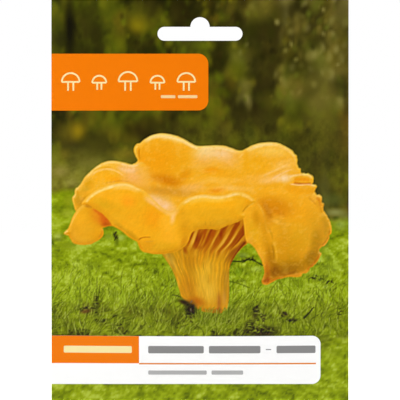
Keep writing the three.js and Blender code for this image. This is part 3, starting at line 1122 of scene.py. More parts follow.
    FRONT_TOUCHES = [
        # left lobe
        Touch("#f9ae1e", 0.8, (27.5, 73.6), (8, 3.2), -4),
        Touch("#f9a018", 0.7, (28.8, 75.6), (3, 2.4), 30),
        Touch("#f8b028", 0.6, (18.5, 72.9), (4.5, 1.3), -24),
        Touch("#e4a61a", 0.8, (19.5, 76.6), (4.6, 2.2), 20),
        Touch("#e9a61a", 0.6, (24, 80.2), (4, 4), 30),
        Touch("#f3aa1c", 0.6, (31, 83), (5, 5)),
        Touch("#f5a012", 0.75, (38.5, 81.5), (4.6, 4.6), 10),
        Touch("#fcb42a", 0.75, (43.4, 83), (3, 4.2), 16),
        Touch("#fbb028", 0.5, (44, 88), (4, 4)),
        Touch("#e2a318", 0.7, (42, 92.6), (8, 2.2), 2),
        Touch("#d49a18", 0.8, (30, 88.2), (3.6, 1.2), 40),
        Touch("#d89c1a", 0.6, (25.5, 84.6), (3.2, 1), 42),
        Touch("#e69f18", 0.7, (36, 91.6), (3, 2)),
        Touch("#d98e14", 0.65, (49.8, 90.2), (1.6, 2.8), 25),
        Touch("#e09a14", 0.7, (50, 85), (2.4, 4.4), 6),
        Touch("#e8a018", 0.5, (49, 80), (1.6, 3)),
        # front fold
        Touch("#f8b01a", 0.8, (60, 76.4), (11, 2.2), -2),
        Touch("#f9ab12", 0.6, (66.5, 76.4), (5, 1.8), -6),
        Touch("#eba71a", 0.8, (60, 80.8), (10, 2.6), -3),
        Touch("#e0a11e", 0.85, (62, 83.8), (8, 1.8), -8),
        Touch("#e4a21a", 0.7, (54.5, 84.6), (3.5, 1.8), -18),
        Touch("#f0ab1e", 0.7, (70.6, 76.8), (2.4, 2.6)),
        Touch("#f2a516", 0.6, (73.2, 75.6), (1.6, 1.6), 30),
        Stroke("#d29218", 0.4, 0.5, [(57.4, 82.6), (57.8, 85)], 0.4, 0.3),
        Stroke("#d29218", 0.4, 0.5, [(59.4, 82.6), (59.4, 85.2)], 0.4, 0.3),
        # groove between the lobes
        Touch("#fbc182", 0.9, (44.6, 78.6), (2.6, 2), 20),
        Touch("#fbc26c", 0.8, (45.4, 81.4), (1.1, 2.6), 8),
        Touch("#f8b65a", 0.6, (40.5, 77.2), (3.4, 1.2), 36),
        Touch("#f4b664", 0.7, (37.4, 75.2), (3, 1.5), 26),
        Stroke("#f9b85a", 0.55, 1.3, [(34.4, 73.4), (38, 76.2), (41.5, 78.8), (44.4, 81)], 1.2, 0.5),
        # crests
        Stroke("#fccb62", 0.8, 0.9, [(12.6, 76.4), (14.6, 73.9), (17.6, 71.9), (20.8, 70.6), (24, 69.9)], 1,
               0.12),
        Stroke("#ffe0a0", 0.52, 1.01, [(20.4, 70.6), (24, 69.6), (27, 69.3), (29.6, 69.7), (31.8, 70.7),
               (34.2, 71.7)], 0.7, 0.15),
        Stroke("#fbc255", 0.6, 1.5, [(22, 71), (26, 70.3), (30, 70.8), (33.4, 72.4)], 1.3, 0.25),
        Stroke("#ffe0a0", 0.52, 1.15, [(48.6, 77), (50.8, 75.3), (53.8, 74.1), (57, 73.7), (60, 74.1),
               (63, 74.2), (66, 73.6), (69, 72.8), (71.6, 73.1)], 0.9, 0.12),
        Stroke("#fbc040", 0.6, 1.5, [(50, 77.4), (53.5, 75.4), (57, 74.8), (61, 75.2), (66, 74.8),
               (70, 74.2)], 1.4, 0.2),
        Stroke("#fdcb70", 0.47, 1.22, [(70.6, 72.9), (73.2, 73.8), (75.4, 75.6)], 0.8, 0.15),
        Stroke("#fac658", 0.9, 0.5, [(75.8, 76), (74.2, 77), (72.8, 78.4), (71.9, 79.7)], 0.4, 0.1),
        Stroke("#c87a10", 0.6, 0.35, [(73.6, 76.9), (72.2, 78.2), (71.2, 79.6)], 0.3, 0.2),
        # lower edges
        Stroke("#cf9216", 0.6, 0.4, [(53.4, 86.4), (57, 85.3), (61.5, 85.7), (65.5, 84.2), (70, 82.4),
               (71.8, 81)], 0.4, 0.1),
        Stroke("#c88c14", 0.6, 0.45, [(34.2, 94), (38, 94.8), (43, 94.5), (47.4, 93.3), (50.6, 90.6)], 0.5,
               0.1),
        Stroke("#cc7c10", 0.85, 0.45, [(32.4, 90.3), (33.4, 89.3), (35.2, 88.8), (37.6, 88.9)], 0.35, 0.2),
        Stroke("#d9840f", 0.7, 0.55, [(32.6, 90.4), (33.2, 92), (34.2, 93.4)], 0.45, 0.2),
        Stroke("#e2a030", 0.5, 0.4, [(34.4, 90.4), (37, 90.4), (39, 90)], 0.3, 0.3),
        Stroke("#ba7410", 0.85, 0.6, [(12.6, 76.8), (13.9, 77.1), (15.4, 77.9)], 0.4, 0.15),
    ]
    FRONT = Lobe(
        outline=[
            (11.4, 76.4), (13.1, 74.1), (16, 71.8), (19, 70.3), (22, 69.4), (25, 68.8), (28, 68.7),
            (30.5, 69.4), (32.5, 70.6), (34.4, 71.3), (36.6, 73.3), (39, 75.6), (41.4, 77.8), (43.6, 79.3),
            (45.4, 79.6), (46.6, 78.6), (47.8, 76.8), (49.4, 75.2), (51.5, 74.1), (54.5, 73.2), (57, 72.9),
            (59.5, 73.2), (62.5, 73.4), (65, 73), (67.5, 72.1), (70, 71.9), (72.5, 72.6), (74.7, 73.9),
            (76.2, 75.4), (75.2, 76.4), (73.6, 77.5), (72.2, 78.9), (71.6, 79.8), (72.2, 80.8), (71.7, 81.6),
            (70, 82.8), (68, 83.6), (65.5, 84.5), (63.5, 85.4), (61.5, 86), (59.5, 85.7), (57, 85.6),
            (54.5, 86), (52.7, 87), (51.9, 88.4), (51, 90.5), (49.5, 92.3), (47.5, 93.6), (45, 94.4),
            (42, 94.9), (39, 95), (36.5, 94.7), (34.5, 94.2), (33.3, 93.2), (32.7, 91.8), (32, 90.4),
            (30.5, 89.6), (28.5, 88.3), (26.5, 86.6), (24.5, 85.4), (23, 84.6), (22, 83), (20, 80.8),
            (17.5, 79), (15, 77.7), (13, 77),
        ],
        flesh="#f1aa1b",
        touches=FRONT_TOUCHES,
        skin=Skin("#fbba38", "#ee9a10", 0.15, 0.0465, (2.1, 2.2), 32),
        depth_of_tone=1.5,
    )
    STEM_LEFT = [(84, 43), (94.2, 41.4), (98.7, 44), (103.6, 46.4), (109, 48), (117, 51)]
    STEM_RIGHT = [(84, 79), (90.8, 73.2), (93.9, 70), (98.6, 66.9), (104, 66.2), (117, 65.6)]
    GILL_TONES = [(0.0, "#8a3204"), (0.32, "#a85208"), (0.55, "#c47c10"), (0.8, "#dc9c30"), (1.0, "#e6aa44")]
    HOLLOWS = [
        Touch("#8a3004", 1, (53.8, 88.8), (1.7, 3), 6),
        Touch("#9a3c06", 0.7, (54.6, 92.2), (1.5, 1.2)),
        Touch("#a34006", 0.75, (57.6, 87.8), (1, 2.2), -4),
        Touch("#aa4608", 0.7, (60.2, 87.6), (0.9, 1.8), 12),
        Touch("#8f3005", 0.8, (63.2, 87.4), (0.8, 2.2)),
        Touch("#98400a", 0.75, (67, 85.8), (3.4, 0.9), -20),
        Touch("#a04408", 0.8, (70.8, 84.2), (1.6, 1), -20),
        Touch("#9a4408", 0.7, (50, 93.6), (0.8, 1.7), -22),
        Touch("#94500c", 0.7, (67.5, 94.5), (1.6, 4.5), 32),
    ]
    CAP_SHADOW = [
        Stroke("#7c3408", 0.95, 0.95, [(72.4, 90.4), (70.6, 92.6), (68.8, 95), (67.2, 97.8), (66.4, 100.4)],
               0.35, 0.05),
        Stroke("#9c5412", 0.7, 0.8, [(71.8, 90), (70, 92.2), (68, 95.2), (66.6, 98.6)], 0.3, 0.1),
    ]
    SOIL = [
        Touch("#4a3008", 0.8, (49.4, 112.9), (1.8, 0.8), 10),
        Touch("#160e06", 1, (52.2, 115.4), (2.3, 3), -20),
        Touch("#2c1b0c", 0.95, (49.8, 113), (2.4, 1.1), 25),
        Touch("#3e3e0a", 0.8, (59.5, 118.2), (5.6, 1.3)),
    ]
    CRUMBS = 26
    BLADES = 170
    DIRT = ["#1e1610", "#2a1a08", "#2a2024", "#120e08", "#43331a", "#6a5c48"]
    GRASS = ["#82911c", "#6f7f10", "#929c34", "#5c680c"]

    def paint(self, canvas: Canvas) -> None:
        """Paints the mushroom from its far side to its near one, then the moss round its foot.

        Args:
            canvas: The canvas to paint on.
        """
        self._gills(canvas, self.STEM.paint(canvas))
        self.CAP.paint(canvas)
        self.BACK_LEFT.paint(canvas)
        self.CURL.paint(canvas)
        self.FRONT.paint(canvas)
        self._foot(canvas)

    def _gills(self, canvas: Canvas, stem: np.ndarray) -> None:
        """Paints the underside: forking ridges that run down from the cap and die out on the stem.

        Args:
            canvas: The canvas to paint on.
            stem: How much of each cell the stem covers.
        """
        x, y = canvas.places()
        left, right = (np.interp(y, *np.array(side).T) for side in (self.STEM_LEFT, self.STEM_RIGHT))
        flow = (x - left) / (right - left)
        noise = Noise(27)
        wander = 0.035 * (noise.clouds(flow * 5, y / 5, 2) - 0.5)
        ridges = 0.55 * noise.at((flow + wander) * 24, y / 9)
        ridges += 0.45 * noise.at((flow + wander) * 47 + 9, y / 6)
        high = 1 - smooth(92, 99, y + 4 * (1 - flow))
        value = 0.5 + (ridges - 0.5) * 1.15 - 0.16 * (1 - smooth(84, 93, y))
        canvas.lay(ramp(value, self.GILL_TONES), stem * high * 0.95)
        canvas.touch_in(self.HOLLOWS, stem * smooth(0.62, 0.35, ridges * (0.55 + 0.45 * high)))
        low = smooth(90, 97, y) * (1 - smooth(98, 116, y))
        fibres = noise.at((flow + wander) * 60 + 3, y / 5) - 0.5
        canvas.colour *= 1 + (stem * 0.16 * fibres * (0.25 + low))[..., None]
        canvas.touch_in(self.CAP_SHADOW, stem)

    def _foot(self, canvas: Canvas) -> None:
        """Paints the crumbs of soil against the stem's foot and the grass that hides it.

        Args:
            canvas: The canvas to paint on.
        """
        canvas.touch_in(self.SOIL)
        draw = np.random.RandomState(5)
        for _ in range(self.CRUMBS):
            x, y = draw.normal(52.0, 0.9), draw.normal(116.0, 1.5)
            turn, length = draw.uniform(0, math.pi), draw.uniform(0.4, 1.3)
            tip = (x + length * math.cos(turn), y + length * math.sin(turn))
            colour = self.DIRT[draw.randint(len(self.DIRT))]
            Stroke(colour, 0.85, 0.42, [(x, y), tip], 0.25).paint(canvas, canvas.all_over)
        for _ in range(self.BLADES):
            x, y = draw.uniform(53.6, 70), draw.uniform(117.8, 122)
            length, lean = draw.uniform(2.0, 4.8), draw.normal(-0.3, 0.4)
            tip = (x - length * math.sin(lean), y - length * math.cos(lean))
            colour = self.GRASS[draw.randint(len(self.GRASS))]
            Stroke(colour, 0.75, 0.32, [(x, y), tip], 0.14).paint(canvas, canvas.all_over)


class Picture:
    """The whole printed picture, painted from the back to the front."""

    def paint(self, canvas: Canvas) -> None:
        """Paints the canvas."""
        for subject in (Woodland(), Moss(), Chanterelle()):
            subject.paint(canvas)
        canvas.sharpen(cells=2, amount=0.9)
        canvas.hold_back_blue(0.028)


# ---- The packet ----


class Side(Enum):
    """Which way a film faces."""

    FRONT = -1
    BACK = 1


@dataclass(frozen=True)
class Packet:
    """The packet's sizes, in millimetres in the frame's axes."""

    left: float
    right: float
    foot: float
    top: float
    side_seal: float = 7.0
    foot_seal: float = 8.0
    header: float = 20.0
    film: float = 0.15
    seal_gap: float = 0.04
    front_crown: float = 3.4
    back_crown: float = 2.8
    settle: float = 1.8
    slot_width: float = 31.75
    slot_height: float = 5.2
    hump_radius: float = 3.6

    @classmethod
    def from_frame(cls) -> Packet:
        """Reads the packet's outline from the frame's front film."""
        low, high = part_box("front_film")
        return cls(low[0] / MM, high[0] / MM, low[2] / MM, high[2] / MM)

    @property
    def width(self) -> float:
        """Width across the packet."""
        return self.right - self.left

    @property
    def height(self) -> float:
        """Height from foot to top edge."""
        return self.top - self.foot

    @property
    def middle(self) -> Vector:
        """The middle of its face, in metres."""
        return Vector(((self.left + self.right) / 2, 0, (self.top + self.foot) / 2)) * MM

    def fullness(self, x: np.ndarray, z: np.ndarray) -> np.ndarray:
        """How full the packet is at each place, from 0 on every seal to 1 where it is fullest.

        Args:
            x: Places across, in millimetres.
            z: Places up, in millimetres.

        Returns:
            The fullness at each place.
        """
        half = self.width / 2 - self.side_seal
        low, high = self.foot + self.foot_seal, self.top - self.header
        across = np.clip(np.abs(x - (self.left + self.right) / 2) / half, 0, 1)
        up = np.clip((z - low) / (high - low), 0, 1)
        peak = 1 / (1 + self.settle)
        rise = up * (1 - up) ** self.settle / (peak * (1 - peak) ** self.settle)
        return (1 - across**2) * rise


@dataclass
class SlotPunch:
    """The punch that cuts the hang slot: a bar with round ends and a round hump."""

    packet: Packet
    reach: float = 5.0
    arc_steps: int = 24

    def build(self) -> bpy.types.Object:
        """Makes the punch as a solid that runs through both films.

        Returns:
            The punch's object, for a boolean cut.
        """
        hump = self.packet.hump_radius
        radius = self.packet.slot_height / 2
        end = self.packet.slot_width / 2 - radius
        bm = bmesh.new()
        outline = self._arc(bm, (end, -hump - radius), radius, -90, 90)
        outline += self._arc(bm, (0, -hump), hump, 0, 180)
        outline += self._arc(bm, (-end, -hump - radius), radius, 90, 270)
        bm.faces.new(outline)
        thicken(bm, 2 * self.reach)
        return put_in_scene("slot_punch", mesh_of(bm, "slot_punch"))

    def _arc(self, bm: bmesh.types.BMesh, centre: Point, radius: float, start: float, end: float) -> list:
        """Adds the vertices of an arc on the punch's near face.

        Args:
            bm: The punch's bmesh.
            centre: The arc's centre, across and up.
            radius: Its radius.
            start: Where it starts, in degrees.
            end: Where it ends, in degrees.

        Returns:
            The vertices, in order.
        """
        turns = np.radians(np.linspace(start, end, self.arc_steps + 1))
        across = centre[0] + radius * np.cos(turns)
        up = centre[1] + radius * np.sin(turns)
        return [bm.verts.new((x * MM, -self.reach * MM, z * MM)) for x, z in zip(across, up)]


@dataclass
class Film:
    """One laminate film: a thin closed shell, flat on its seals and crowned over the fill."""

    name: str
    side: Side
    packet: Packet
    columns: int = 54
    rows: int = 73
    pucker_depth: float = 0.22
    pucker_pitch: float = 8.5

    def build(self, cuts: int, fine_band: Optional[tuple[float, float]] = None) -> bpy.types.Object:
        """Builds the film.

        Args:
            cuts: How many times each cell of the outer face is cut across and up.
            fine_band: Heights in millimetres between which each cell is cut once more.

        Returns:
            The film's object, at the origin with its place in its mesh.
        """
        bm = self._sheet()
        outer = self._outer_faces(bm)
        bmesh.ops.subdivide_edges(bm, edges=self._edges(outer), cuts=cuts, use_grid_fill=True)
        if fine_band:
            low, high = fine_band
            outer = [f for f in self._outer_faces(bm) if low < f.calc_center_median().z / MM < high]
            bmesh.ops.subdivide_edges(bm, edges=self._edges(outer), cuts=1, use_grid_fill=True)
        film = put_in_scene(self.name, mesh_of(bm, self.name))
        self._punch(film)
        self._crown(film.data)
        self._split_faces(film.data)
        return film

    def _sheet(self) -> bmesh.types.BMesh:
        """A flat closed sheet of the film's thickness, with its outer face towards its side."""
        packet, side = self.packet, self.side.value
        bm = bmesh.new()
        bmesh.ops.create_grid(bm, x_segments=self.columns, y_segments=self.rows, size=0.5)
        bmesh.ops.scale(bm, verts=bm.verts[:], vec=(packet.width * MM, packet.height * MM, 1))
        stand_up = Matrix.Rotation(math.radians(-90 * side), 4, "X")
        bmesh.ops.transform(bm, matrix=stand_up, verts=bm.verts[:])
        outside = packet.seal_gap / 2 + packet.film
        bmesh.ops.translate(bm, verts=bm.verts[:], vec=packet.middle + Vector((0, side * outside * MM, 0)))
        thicken(bm, -side * packet.film)
        return bm

    def _outer_faces(self, bm: bmesh.types.BMesh) -> list[bmesh.types.BMFace]:
        """The faces that look outwards."""
        bm.normal_update()
        return [face for face in bm.faces if face.normal.y * self.side.value > 0.5]

    @staticmethod
    def _edges(faces: Iterable[bmesh.types.BMFace]) -> list[bmesh.types.BMEdge]:
        """Every edge of some faces, once."""
        return list(dict.fromkeys(edge for face in faces for edge in face.edges))

    def _punch(self, film: bpy.types.Object) -> None:
        """Cuts the hang slot through the film.

        Args:
            film: The film's object.
        """
        punch = SlotPunch(self.packet).build()
        cut = film.modifiers.new("slot", "BOOLEAN")
        cut.operation = "DIFFERENCE"
        cut.solver = "EXACT"
        cut.object = punch
        graph = bpy.context.evaluated_depsgraph_get()
        mesh = bpy.data.meshes.new_from_object(film.evaluated_get(graph))
        film.modifiers.clear()
        film.data = mesh
        mesh.name = self.name
        bpy.data.objects.remove(punch)

    def _crown(self, mesh: bpy.types.Mesh) -> None:
        """Lifts the film over the fill, with shallow puckers that run in from the side seals.

        Args:
            mesh: The film's mesh.
        """
        places = vertex_places(mesh)
        x, z = places[:, 0] / MM, places[:, 2] / MM
        packet = self.packet
        full = packet.fullness(x, z)
        crown = packet.front_crown if self.side is Side.FRONT else packet.back_crown
        half = packet.width / 2 - packet.side_seal
        inward = half - np.abs(x)
        ripple = 0.5 + 0.5 * np.sin(2 * math.pi * z / self.pucker_pitch + 1.3 * np.sin(z / 17) + np.sign(x))
        pucker = self.pucker_depth * ripple * smooth(0, 3, inward) * (1 - smooth(4, 17, inward))
        places[:, 1] += self.side.value * (crown * full + pucker * np.sqrt(full)) * MM
        mesh.vertices.foreach_set("co", places.ravel())
        mesh.update()

    def _split_faces(self, mesh: bpy.types.Mesh) -> None:
        """Gives the printed face the first material slot and the rest the second, and shades it smooth.

        Args:
            mesh: The film's mesh.
        """
        normals = np.empty(len(mesh.polygons) * 3)
        mesh.polygons.foreach_get("normal", normals)
        outward = normals.reshape(-1, 3)[:, 1] * self.side.value > 0.5
        mesh.polygons.foreach_set("material_index", np.where(outward, 0, 1).astype(np.int32))
        mesh.shade_smooth()
        mesh.set_sharp_from_angle(angle=math.radians(40))


class FrontFilm(Film):
    """The printed front film, with the picture laid on its outer face as a colour on each vertex."""

    PAINT_CELL = 0.25
    PICTURE = "picture"
    FINE_FROM = 48
    FINE_TO = 126

    def make(self) -> bpy.types.Object:
        """Builds the film, finer where the mushroom and the near moss are, and lays the picture on it."""
        top = self.packet.top
        film = self.build(cuts=2, fine_band=(top - self.FINE_TO, top - self.FINE_FROM))
        canvas = Canvas(self.packet.width, self.packet.height, self.PAINT_CELL)
        Picture().paint(canvas)
        self._lay_picture(film.data, canvas)
        return film

    def _lay_picture(self, mesh: bpy.types.Mesh, canvas: Canvas) -> None:
        """Copies the painted colours to the film's vertices.

        Args:
            mesh: The film's mesh.
            canvas: The canvas to paint on.
        """
        places = vertex_places(mesh) / MM
        colours = canvas.sample(places[:, 0] - self.packet.left, self.packet.top - places[:, 2])
        with_alpha = np.ones((len(colours), 4))
        with_alpha[:, :3] = to_linear(np.clip(colours, 0, 1))
        layer = mesh.color_attributes.new(self.PICTURE, "FLOAT_COLOR", "POINT")
        layer.data.foreach_set("color", with_alpha.ravel())


# ---- Finishes ----


@dataclass(frozen=True)
class Block:
    """A rounded block of flat ink, by its left, top, right and bottom edges across and down the face."""

    left: float
    top: float
    right: float
    foot: float
    corner: float = 0.1

    @property
    def centre(self) -> tuple[float, float, float]:
        """Its middle, across and down."""
        return (self.left + self.right) / 2, 0.0, (self.top + self.foot) / 2

    @property
    def half(self) -> tuple[float, float, float]:
        """Half its size."""
        return (self.right - self.left) / 2, 0.0, (self.foot - self.top) / 2


class InkPlates:
    """Node groups that say where each flat ink falls, in millimetres across and down a printed face."""

    EDGE = 0.06

    def __init__(self) -> None:
        """Builds the groups."""
        self.block = self._block_group()
        self.mark = self._mark_group()

    @staticmethod
    def _group(name: str, vectors: Sequence[str], numbers: Sequence[str]) -> tuple:
        """Starts a node group with one output, Cover.

        Args:
            name: The group's name.
            vectors: The names of its inputs that are vectors.
            numbers: The names of its inputs that are numbers.

        Returns:
            The group and a socket for each of its inputs.
        """
        tree = bpy.data.node_groups.new(name, "ShaderNodeTree")
        for kind, labels in (("NodeSocketVector", vectors), ("NodeSocketFloat", numbers)):
            for label in labels:
                tree.interface.new_socket(label, in_out="INPUT", socket_type=kind)
        tree.interface.new_socket("Cover", in_out="OUTPUT", socket_type="NodeSocketFloat")
        given = add_node(tree, "NodeGroupInput")
        return tree, *(given.outputs[label] for label in (*vectors, *numbers))

    def _inside(self, tree: bpy.types.NodeTree, distance: Any) -> bpy.types.Node:
        """1 where the distance is under 0, falling softly to 0 where it is over."""
        ends = {"From Min": -self.EDGE, "From Max": self.EDGE, "To Min": 1.0, "To Max": 0.0}
        return add_node(
            tree, "ShaderNodeMapRange", {"Value": distance, **ends}, interpolation_type="SMOOTHSTEP"
        )

    def _block_group(self) -> bpy.types.NodeTree:
        """Covers a rounded block."""
        tree, place, centre, half, corner = self._group(
            "ink_block", ("Place", "Centre", "Half"), ("Corner",)
        )
        corners = add_node(tree, "ShaderNodeCombineXYZ", {0: corner, 2: corner})
        away = add_node(tree, "ShaderNodeVectorMath", {0: place, 1: centre}, operation="SUBTRACT")
        folded = add_node(tree, "ShaderNodeVectorMath", {0: away}, operation="ABSOLUTE")
        inner = add_node(tree, "ShaderNodeVectorMath", {0: half, 1: corners}, operation="SUBTRACT")
        past = add_node(tree, "ShaderNodeVectorMath", {0: folded, 1: inner}, operation="SUBTRACT")
        beyond = add_node(tree, "ShaderNodeVectorMath", {0: past, 1: (0, 0, 0)}, operation="MAXIMUM")
        length = add_node(tree, "ShaderNodeVectorMath", {0: beyond}, operation="LENGTH").outputs["Value"]
        distance = add_node(tree, "ShaderNodeMath", {0: length, 1: corner}, operation="SUBTRACT")
        add_node(tree, "NodeGroupOutput", {"Cover": self._inside(tree, distance)})
        return tree

    def _mark_group(self) -> bpy.types.NodeTree:
        """Covers a small line-drawn mushroom: a half-round cap over a plain stem."""
        tree, place, centre, radius, line = self._group("ink_mark", ("Place", "Centre"), ("Radius", "Line"))
        away = add_node(tree, "ShaderNodeVectorMath", {0: place, 1: centre}, operation="SUBTRACT")
        reach = add_node(tree, "ShaderNodeVectorMath", {0: away}, operation="LENGTH").outputs["Value"]
        split = add_node(tree, "ShaderNodeSeparateXYZ", {0: away})
        down = split.outputs["Z"]
        cap = self._cut(tree, self._line(tree, reach, radius, line), down)
        past_cap = add_node(tree, "ShaderNodeMath", {0: reach, 1: radius}, operation="SUBTRACT")
        brim = self._cut(tree, self._line(tree, down, 0.0, line), past_cap)
        sideways = add_node(tree, "ShaderNodeMath", {0: split.outputs["X"]}, operation="ABSOLUTE")
        stem_half = add_node(tree, "ShaderNodeMath", {0: radius, 1: 0.3}, operation="MULTIPLY")
        above = add_node(tree, "ShaderNodeMath", {0: down, 1: -1.0}, operation="MULTIPLY")
        past_foot = add_node(tree, "ShaderNodeMath", {0: down, 1: radius}, operation="SUBTRACT")
        stem = self._cut(tree, self._line(tree, sideways, stem_half, line), above)
        stem = self._cut(tree, stem, past_foot)
        both = add_node(tree, "ShaderNodeMath", {0: cap, 1: brim}, operation="MAXIMUM")
        cover = add_node(tree, "ShaderNodeMath", {0: both, 1: stem}, operation="MAXIMUM")
        add_node(tree, "NodeGroupOutput", {"Cover": cover})
        return tree

    def _cut(self, tree: bpy.types.NodeTree, cover: Any, distance: Any) -> bpy.types.Node:
        """Keeps a cover only where the distance is under 0."""
        kept = self._inside(tree, distance)
        return add_node(tree, "ShaderNodeMath", {0: cover, 1: kept}, operation="MULTIPLY")

    def _line(self, tree: bpy.types.NodeTree, value: Any, at: Any, thickness: Any) -> bpy.types.Node:
        """Covers a line where a value comes to a mark, by the line's thickness.

        Args:
            tree: The node tree.
            value: The value.
            at: The mark.
            thickness: The line's thickness.

        Returns:
            The line's cover.
        """
        away = add_node(tree, "ShaderNodeMath", {0: value, 1: at}, operation="SUBTRACT")
        folded = add_node(tree, "ShaderNodeMath", {0: away}, operation="ABSOLUTE")
        half = add_node(tree, "ShaderNodeMath", {0: thickness, 1: 0.5}, operation="MULTIPLY")
        past = add_node(tree, "ShaderNodeMath", {0: folded, 1: half}, operation="SUBTRACT")
        return self._inside(tree, past)


class PrintedFace:
    """Lays flat inks over a printed face, one after another."""

    WORDS_PER_MM = 0.42
    SPACES = 0.39
    ROW_SHIFT = 37.0

    def __init__(self, tree: bpy.types.NodeTree, packet: Packet, plates: InkPlates, ground: Any) -> None:
        """Starts from a ground colour.

        Args:
            tree: The material's node tree.
            packet: The packet, which says where its top left corner is.
            plates: The ink groups.
            ground: A socket or a colour that the inks are laid over.
        """
        self.tree, self.plates, self.colour = tree, plates, ground
        here = add_node(tree, "ShaderNodeTexCoord")
        self.place = add_node(
            tree,
            "ShaderNodeVectorMath",
            {0: here.outputs["Object"], 1: (1 / MM, 0, -1 / MM), 2: (-packet.left, 0, packet.top)},
            operation="MULTIPLY_ADD",
        )

    def _stamp(self, plate: bpy.types.NodeTree, stamps: Iterable[dict[str, Any]]) -> Any:
        """Where any of some stamps of a plate falls, each given by the inputs of the plate's group."""
        total = 0.0
        for stamp in stamps:
            inputs = {"Place": self.place, **stamp}
            cover = add_node(self.tree, "ShaderNodeGroup", inputs, node_tree=plate)
            total = add_node(self.tree, "ShaderNodeMath", {0: total, 1: cover}, operation="MAXIMUM")
        return total

    def blocks(self, *blocks: Block) -> Any:
        """Where any of some blocks falls."""
        return self._stamp(
            self.plates.block,
            ({"Centre": block.centre, "Half": block.half, "Corner": block.corner} for block in blocks),
        )

    def marks(self, line: float, *marks: tuple[float, float, float]) -> Any:
        """Where any of some line-drawn mushrooms falls: each is across, down and the cap's radius."""
        return self._stamp(
            self.plates.mark,
            ({"Centre": (x, 0, z), "Radius": radius, "Line": line} for x, z, radius in marks),
        )

    def words(self, block: Block, pitch: float, height: float) -> Any:
        """Where greeked words fall in a block of text.

        Args:
            block: The block that the text fills.
            pitch: Distance between two lines.
            height: Height of a line's bars.

        Returns:
            The socket that says how much of the ink each place takes.
        """
        tree = self.tree
        split = add_node(tree, "ShaderNodeSeparateXYZ", {0: self.place})
        down = add_node(tree, "ShaderNodeMath", {0: split.outputs["Z"], 1: block.top}, operation="SUBTRACT")
        row = add_node(tree, "ShaderNodeMath", {0: down, 1: pitch}, operation="DIVIDE")
        line = add_node(tree, "ShaderNodeMath", {0: row}, operation="FLOOR")
        start = add_node(tree, "ShaderNodeMath", {0: line, 1: self.ROW_SHIFT}, operation="MULTIPLY")
        within = add_node(tree, "ShaderNodeMath", {0: row}, operation="FRACT")
        bar = add_node(tree, "ShaderNodeMath", {0: within, 1: height / pitch}, operation="LESS_THAN")
        spot = add_node(tree, "ShaderNodeCombineXYZ", {0: split.outputs["X"], 1: start})
        lengths = {"Vector": spot, "Scale": self.WORDS_PER_MM, "Detail": 0.0}
        spacing = add_node(tree, "ShaderNodeTexNoise", lengths, noise_dimensions="2D")
        word = add_node(tree, "ShaderNodeMath", {0: spacing, 1: self.SPACES}, operation="GREATER_THAN")
        inked = add_node(tree, "ShaderNodeMath", {0: bar, 1: word}, operation="MULTIPLY")
        return add_node(tree, "ShaderNodeMath", {0: inked, 1: self.blocks(block)}, operation="MULTIPLY")

    def lay(self, ink: str, cover: Any, strength: float = 1.0) -> None:
        """Lays an ink over what is there.

        Args:
            ink: The ink's hex colour.
            cover: Where it falls.
            strength: How much of what is under it the ink hides.
        """
        if strength < 1:
            cover = add_node(self.tree, "ShaderNodeMath", {0: cover, 1: strength}, operation="MULTIPLY")
        inks = {"Factor": cover, 6: self.colour, 7: linear(ink)}
        self.colour = add_node(self.tree, "ShaderNodeMix", inks, data_type="RGBA").outputs[2]


@dataclass(frozen=True)
class SatinLaminate:
    """Reverse-printed PET and PE laminate: a smooth outer web whose satin coat breaks up highlights."""

    roughness: float = 0.25
    haze: float = 0.04
    haze_pitch: float = 14.0
    ior: float = 1.5
    specular_level: float = 0.18
    rib_pitch: float = 1.1
    rib_depth: float = 0.006
    drum_pitch: float = 9.0
    drum_depth: float = 0.1

    def coat(self, tree: bpy.types.NodeTree, shader: bpy.types.Node, packet: Packet) -> None:
        """Sets the film's gloss and its faint relief.

        Args:
            tree: The material's node tree.
            shader: Its Principled shader.
            packet: The packet, which says where its side seals are.
        """
        here = add_node(tree, "ShaderNodeTexCoord").outputs["Object"]
        # polyester with a satin coat: an even soft sheen with no mirror image, slightly uneven in
        # gloss over every centimetre or so
        haze = add_node(
            tree,
            "ShaderNodeTexNoise",
            {"Vector": here, "Scale": 1 / (self.haze_pitch * MM), "Detail": 2.0, "Roughness": 0.5},
        )
        ends = {"To Min": self.roughness - self.haze, "To Max": self.roughness + self.haze}
        rough = add_node(tree, "ShaderNodeMapRange", {"Value": haze, **ends})
        # the film drums slightly over the fill
        drum = add_node(
            tree,
            "ShaderNodeTexNoise",
            {"Vector": here, "Scale": 1 / (self.drum_pitch * MM), "Detail": 1.0, "Roughness": 0.4},
        )
        slack = add_node(
            tree, "ShaderNodeBump", {"Height": drum, "Distance": self.drum_depth * MM, "Strength": 1.0}
        )
        # the sealing jaws leave fine level ribs on the side seals
        split = add_node(tree, "ShaderNodeSeparateXYZ", {0: here})
        off = add_node(
            tree, "ShaderNodeMath", {0: split.outputs["X"], 1: packet.middle.x}, operation="SUBTRACT"
        )
        away = add_node(tree, "ShaderNodeMath", {0: off}, operation="ABSOLUTE")
        seal = packet.width / 2 - packet.side_seal
        ends = {"From Min": (seal - 0.3) * MM, "From Max": (seal + 0.3) * MM}
        on_seal = add_node(tree, "ShaderNodeMapRange", {"Value": away, **ends})
        turns = add_node(
            tree,
            "ShaderNodeMath",
            {0: split.outputs["Z"], 1: 2 * math.pi / (self.rib_pitch * MM)},
            operation="MULTIPLY",
        )
        rib = add_node(tree, "ShaderNodeMath", {0: turns}, operation="SINE")
        held = add_node(tree, "ShaderNodeMath", {0: rib, 1: on_seal}, operation="MULTIPLY")
        ribs = add_node(
            tree, "ShaderNodeBump", {"Height": held, "Distance": self.rib_depth * MM, "Normal": slack}
        )
        gloss = {"IOR": self.ior, "Specular IOR Level": self.specular_level}
        feed(tree, shader, {**gloss, "Roughness": rough, "Normal": ribs})


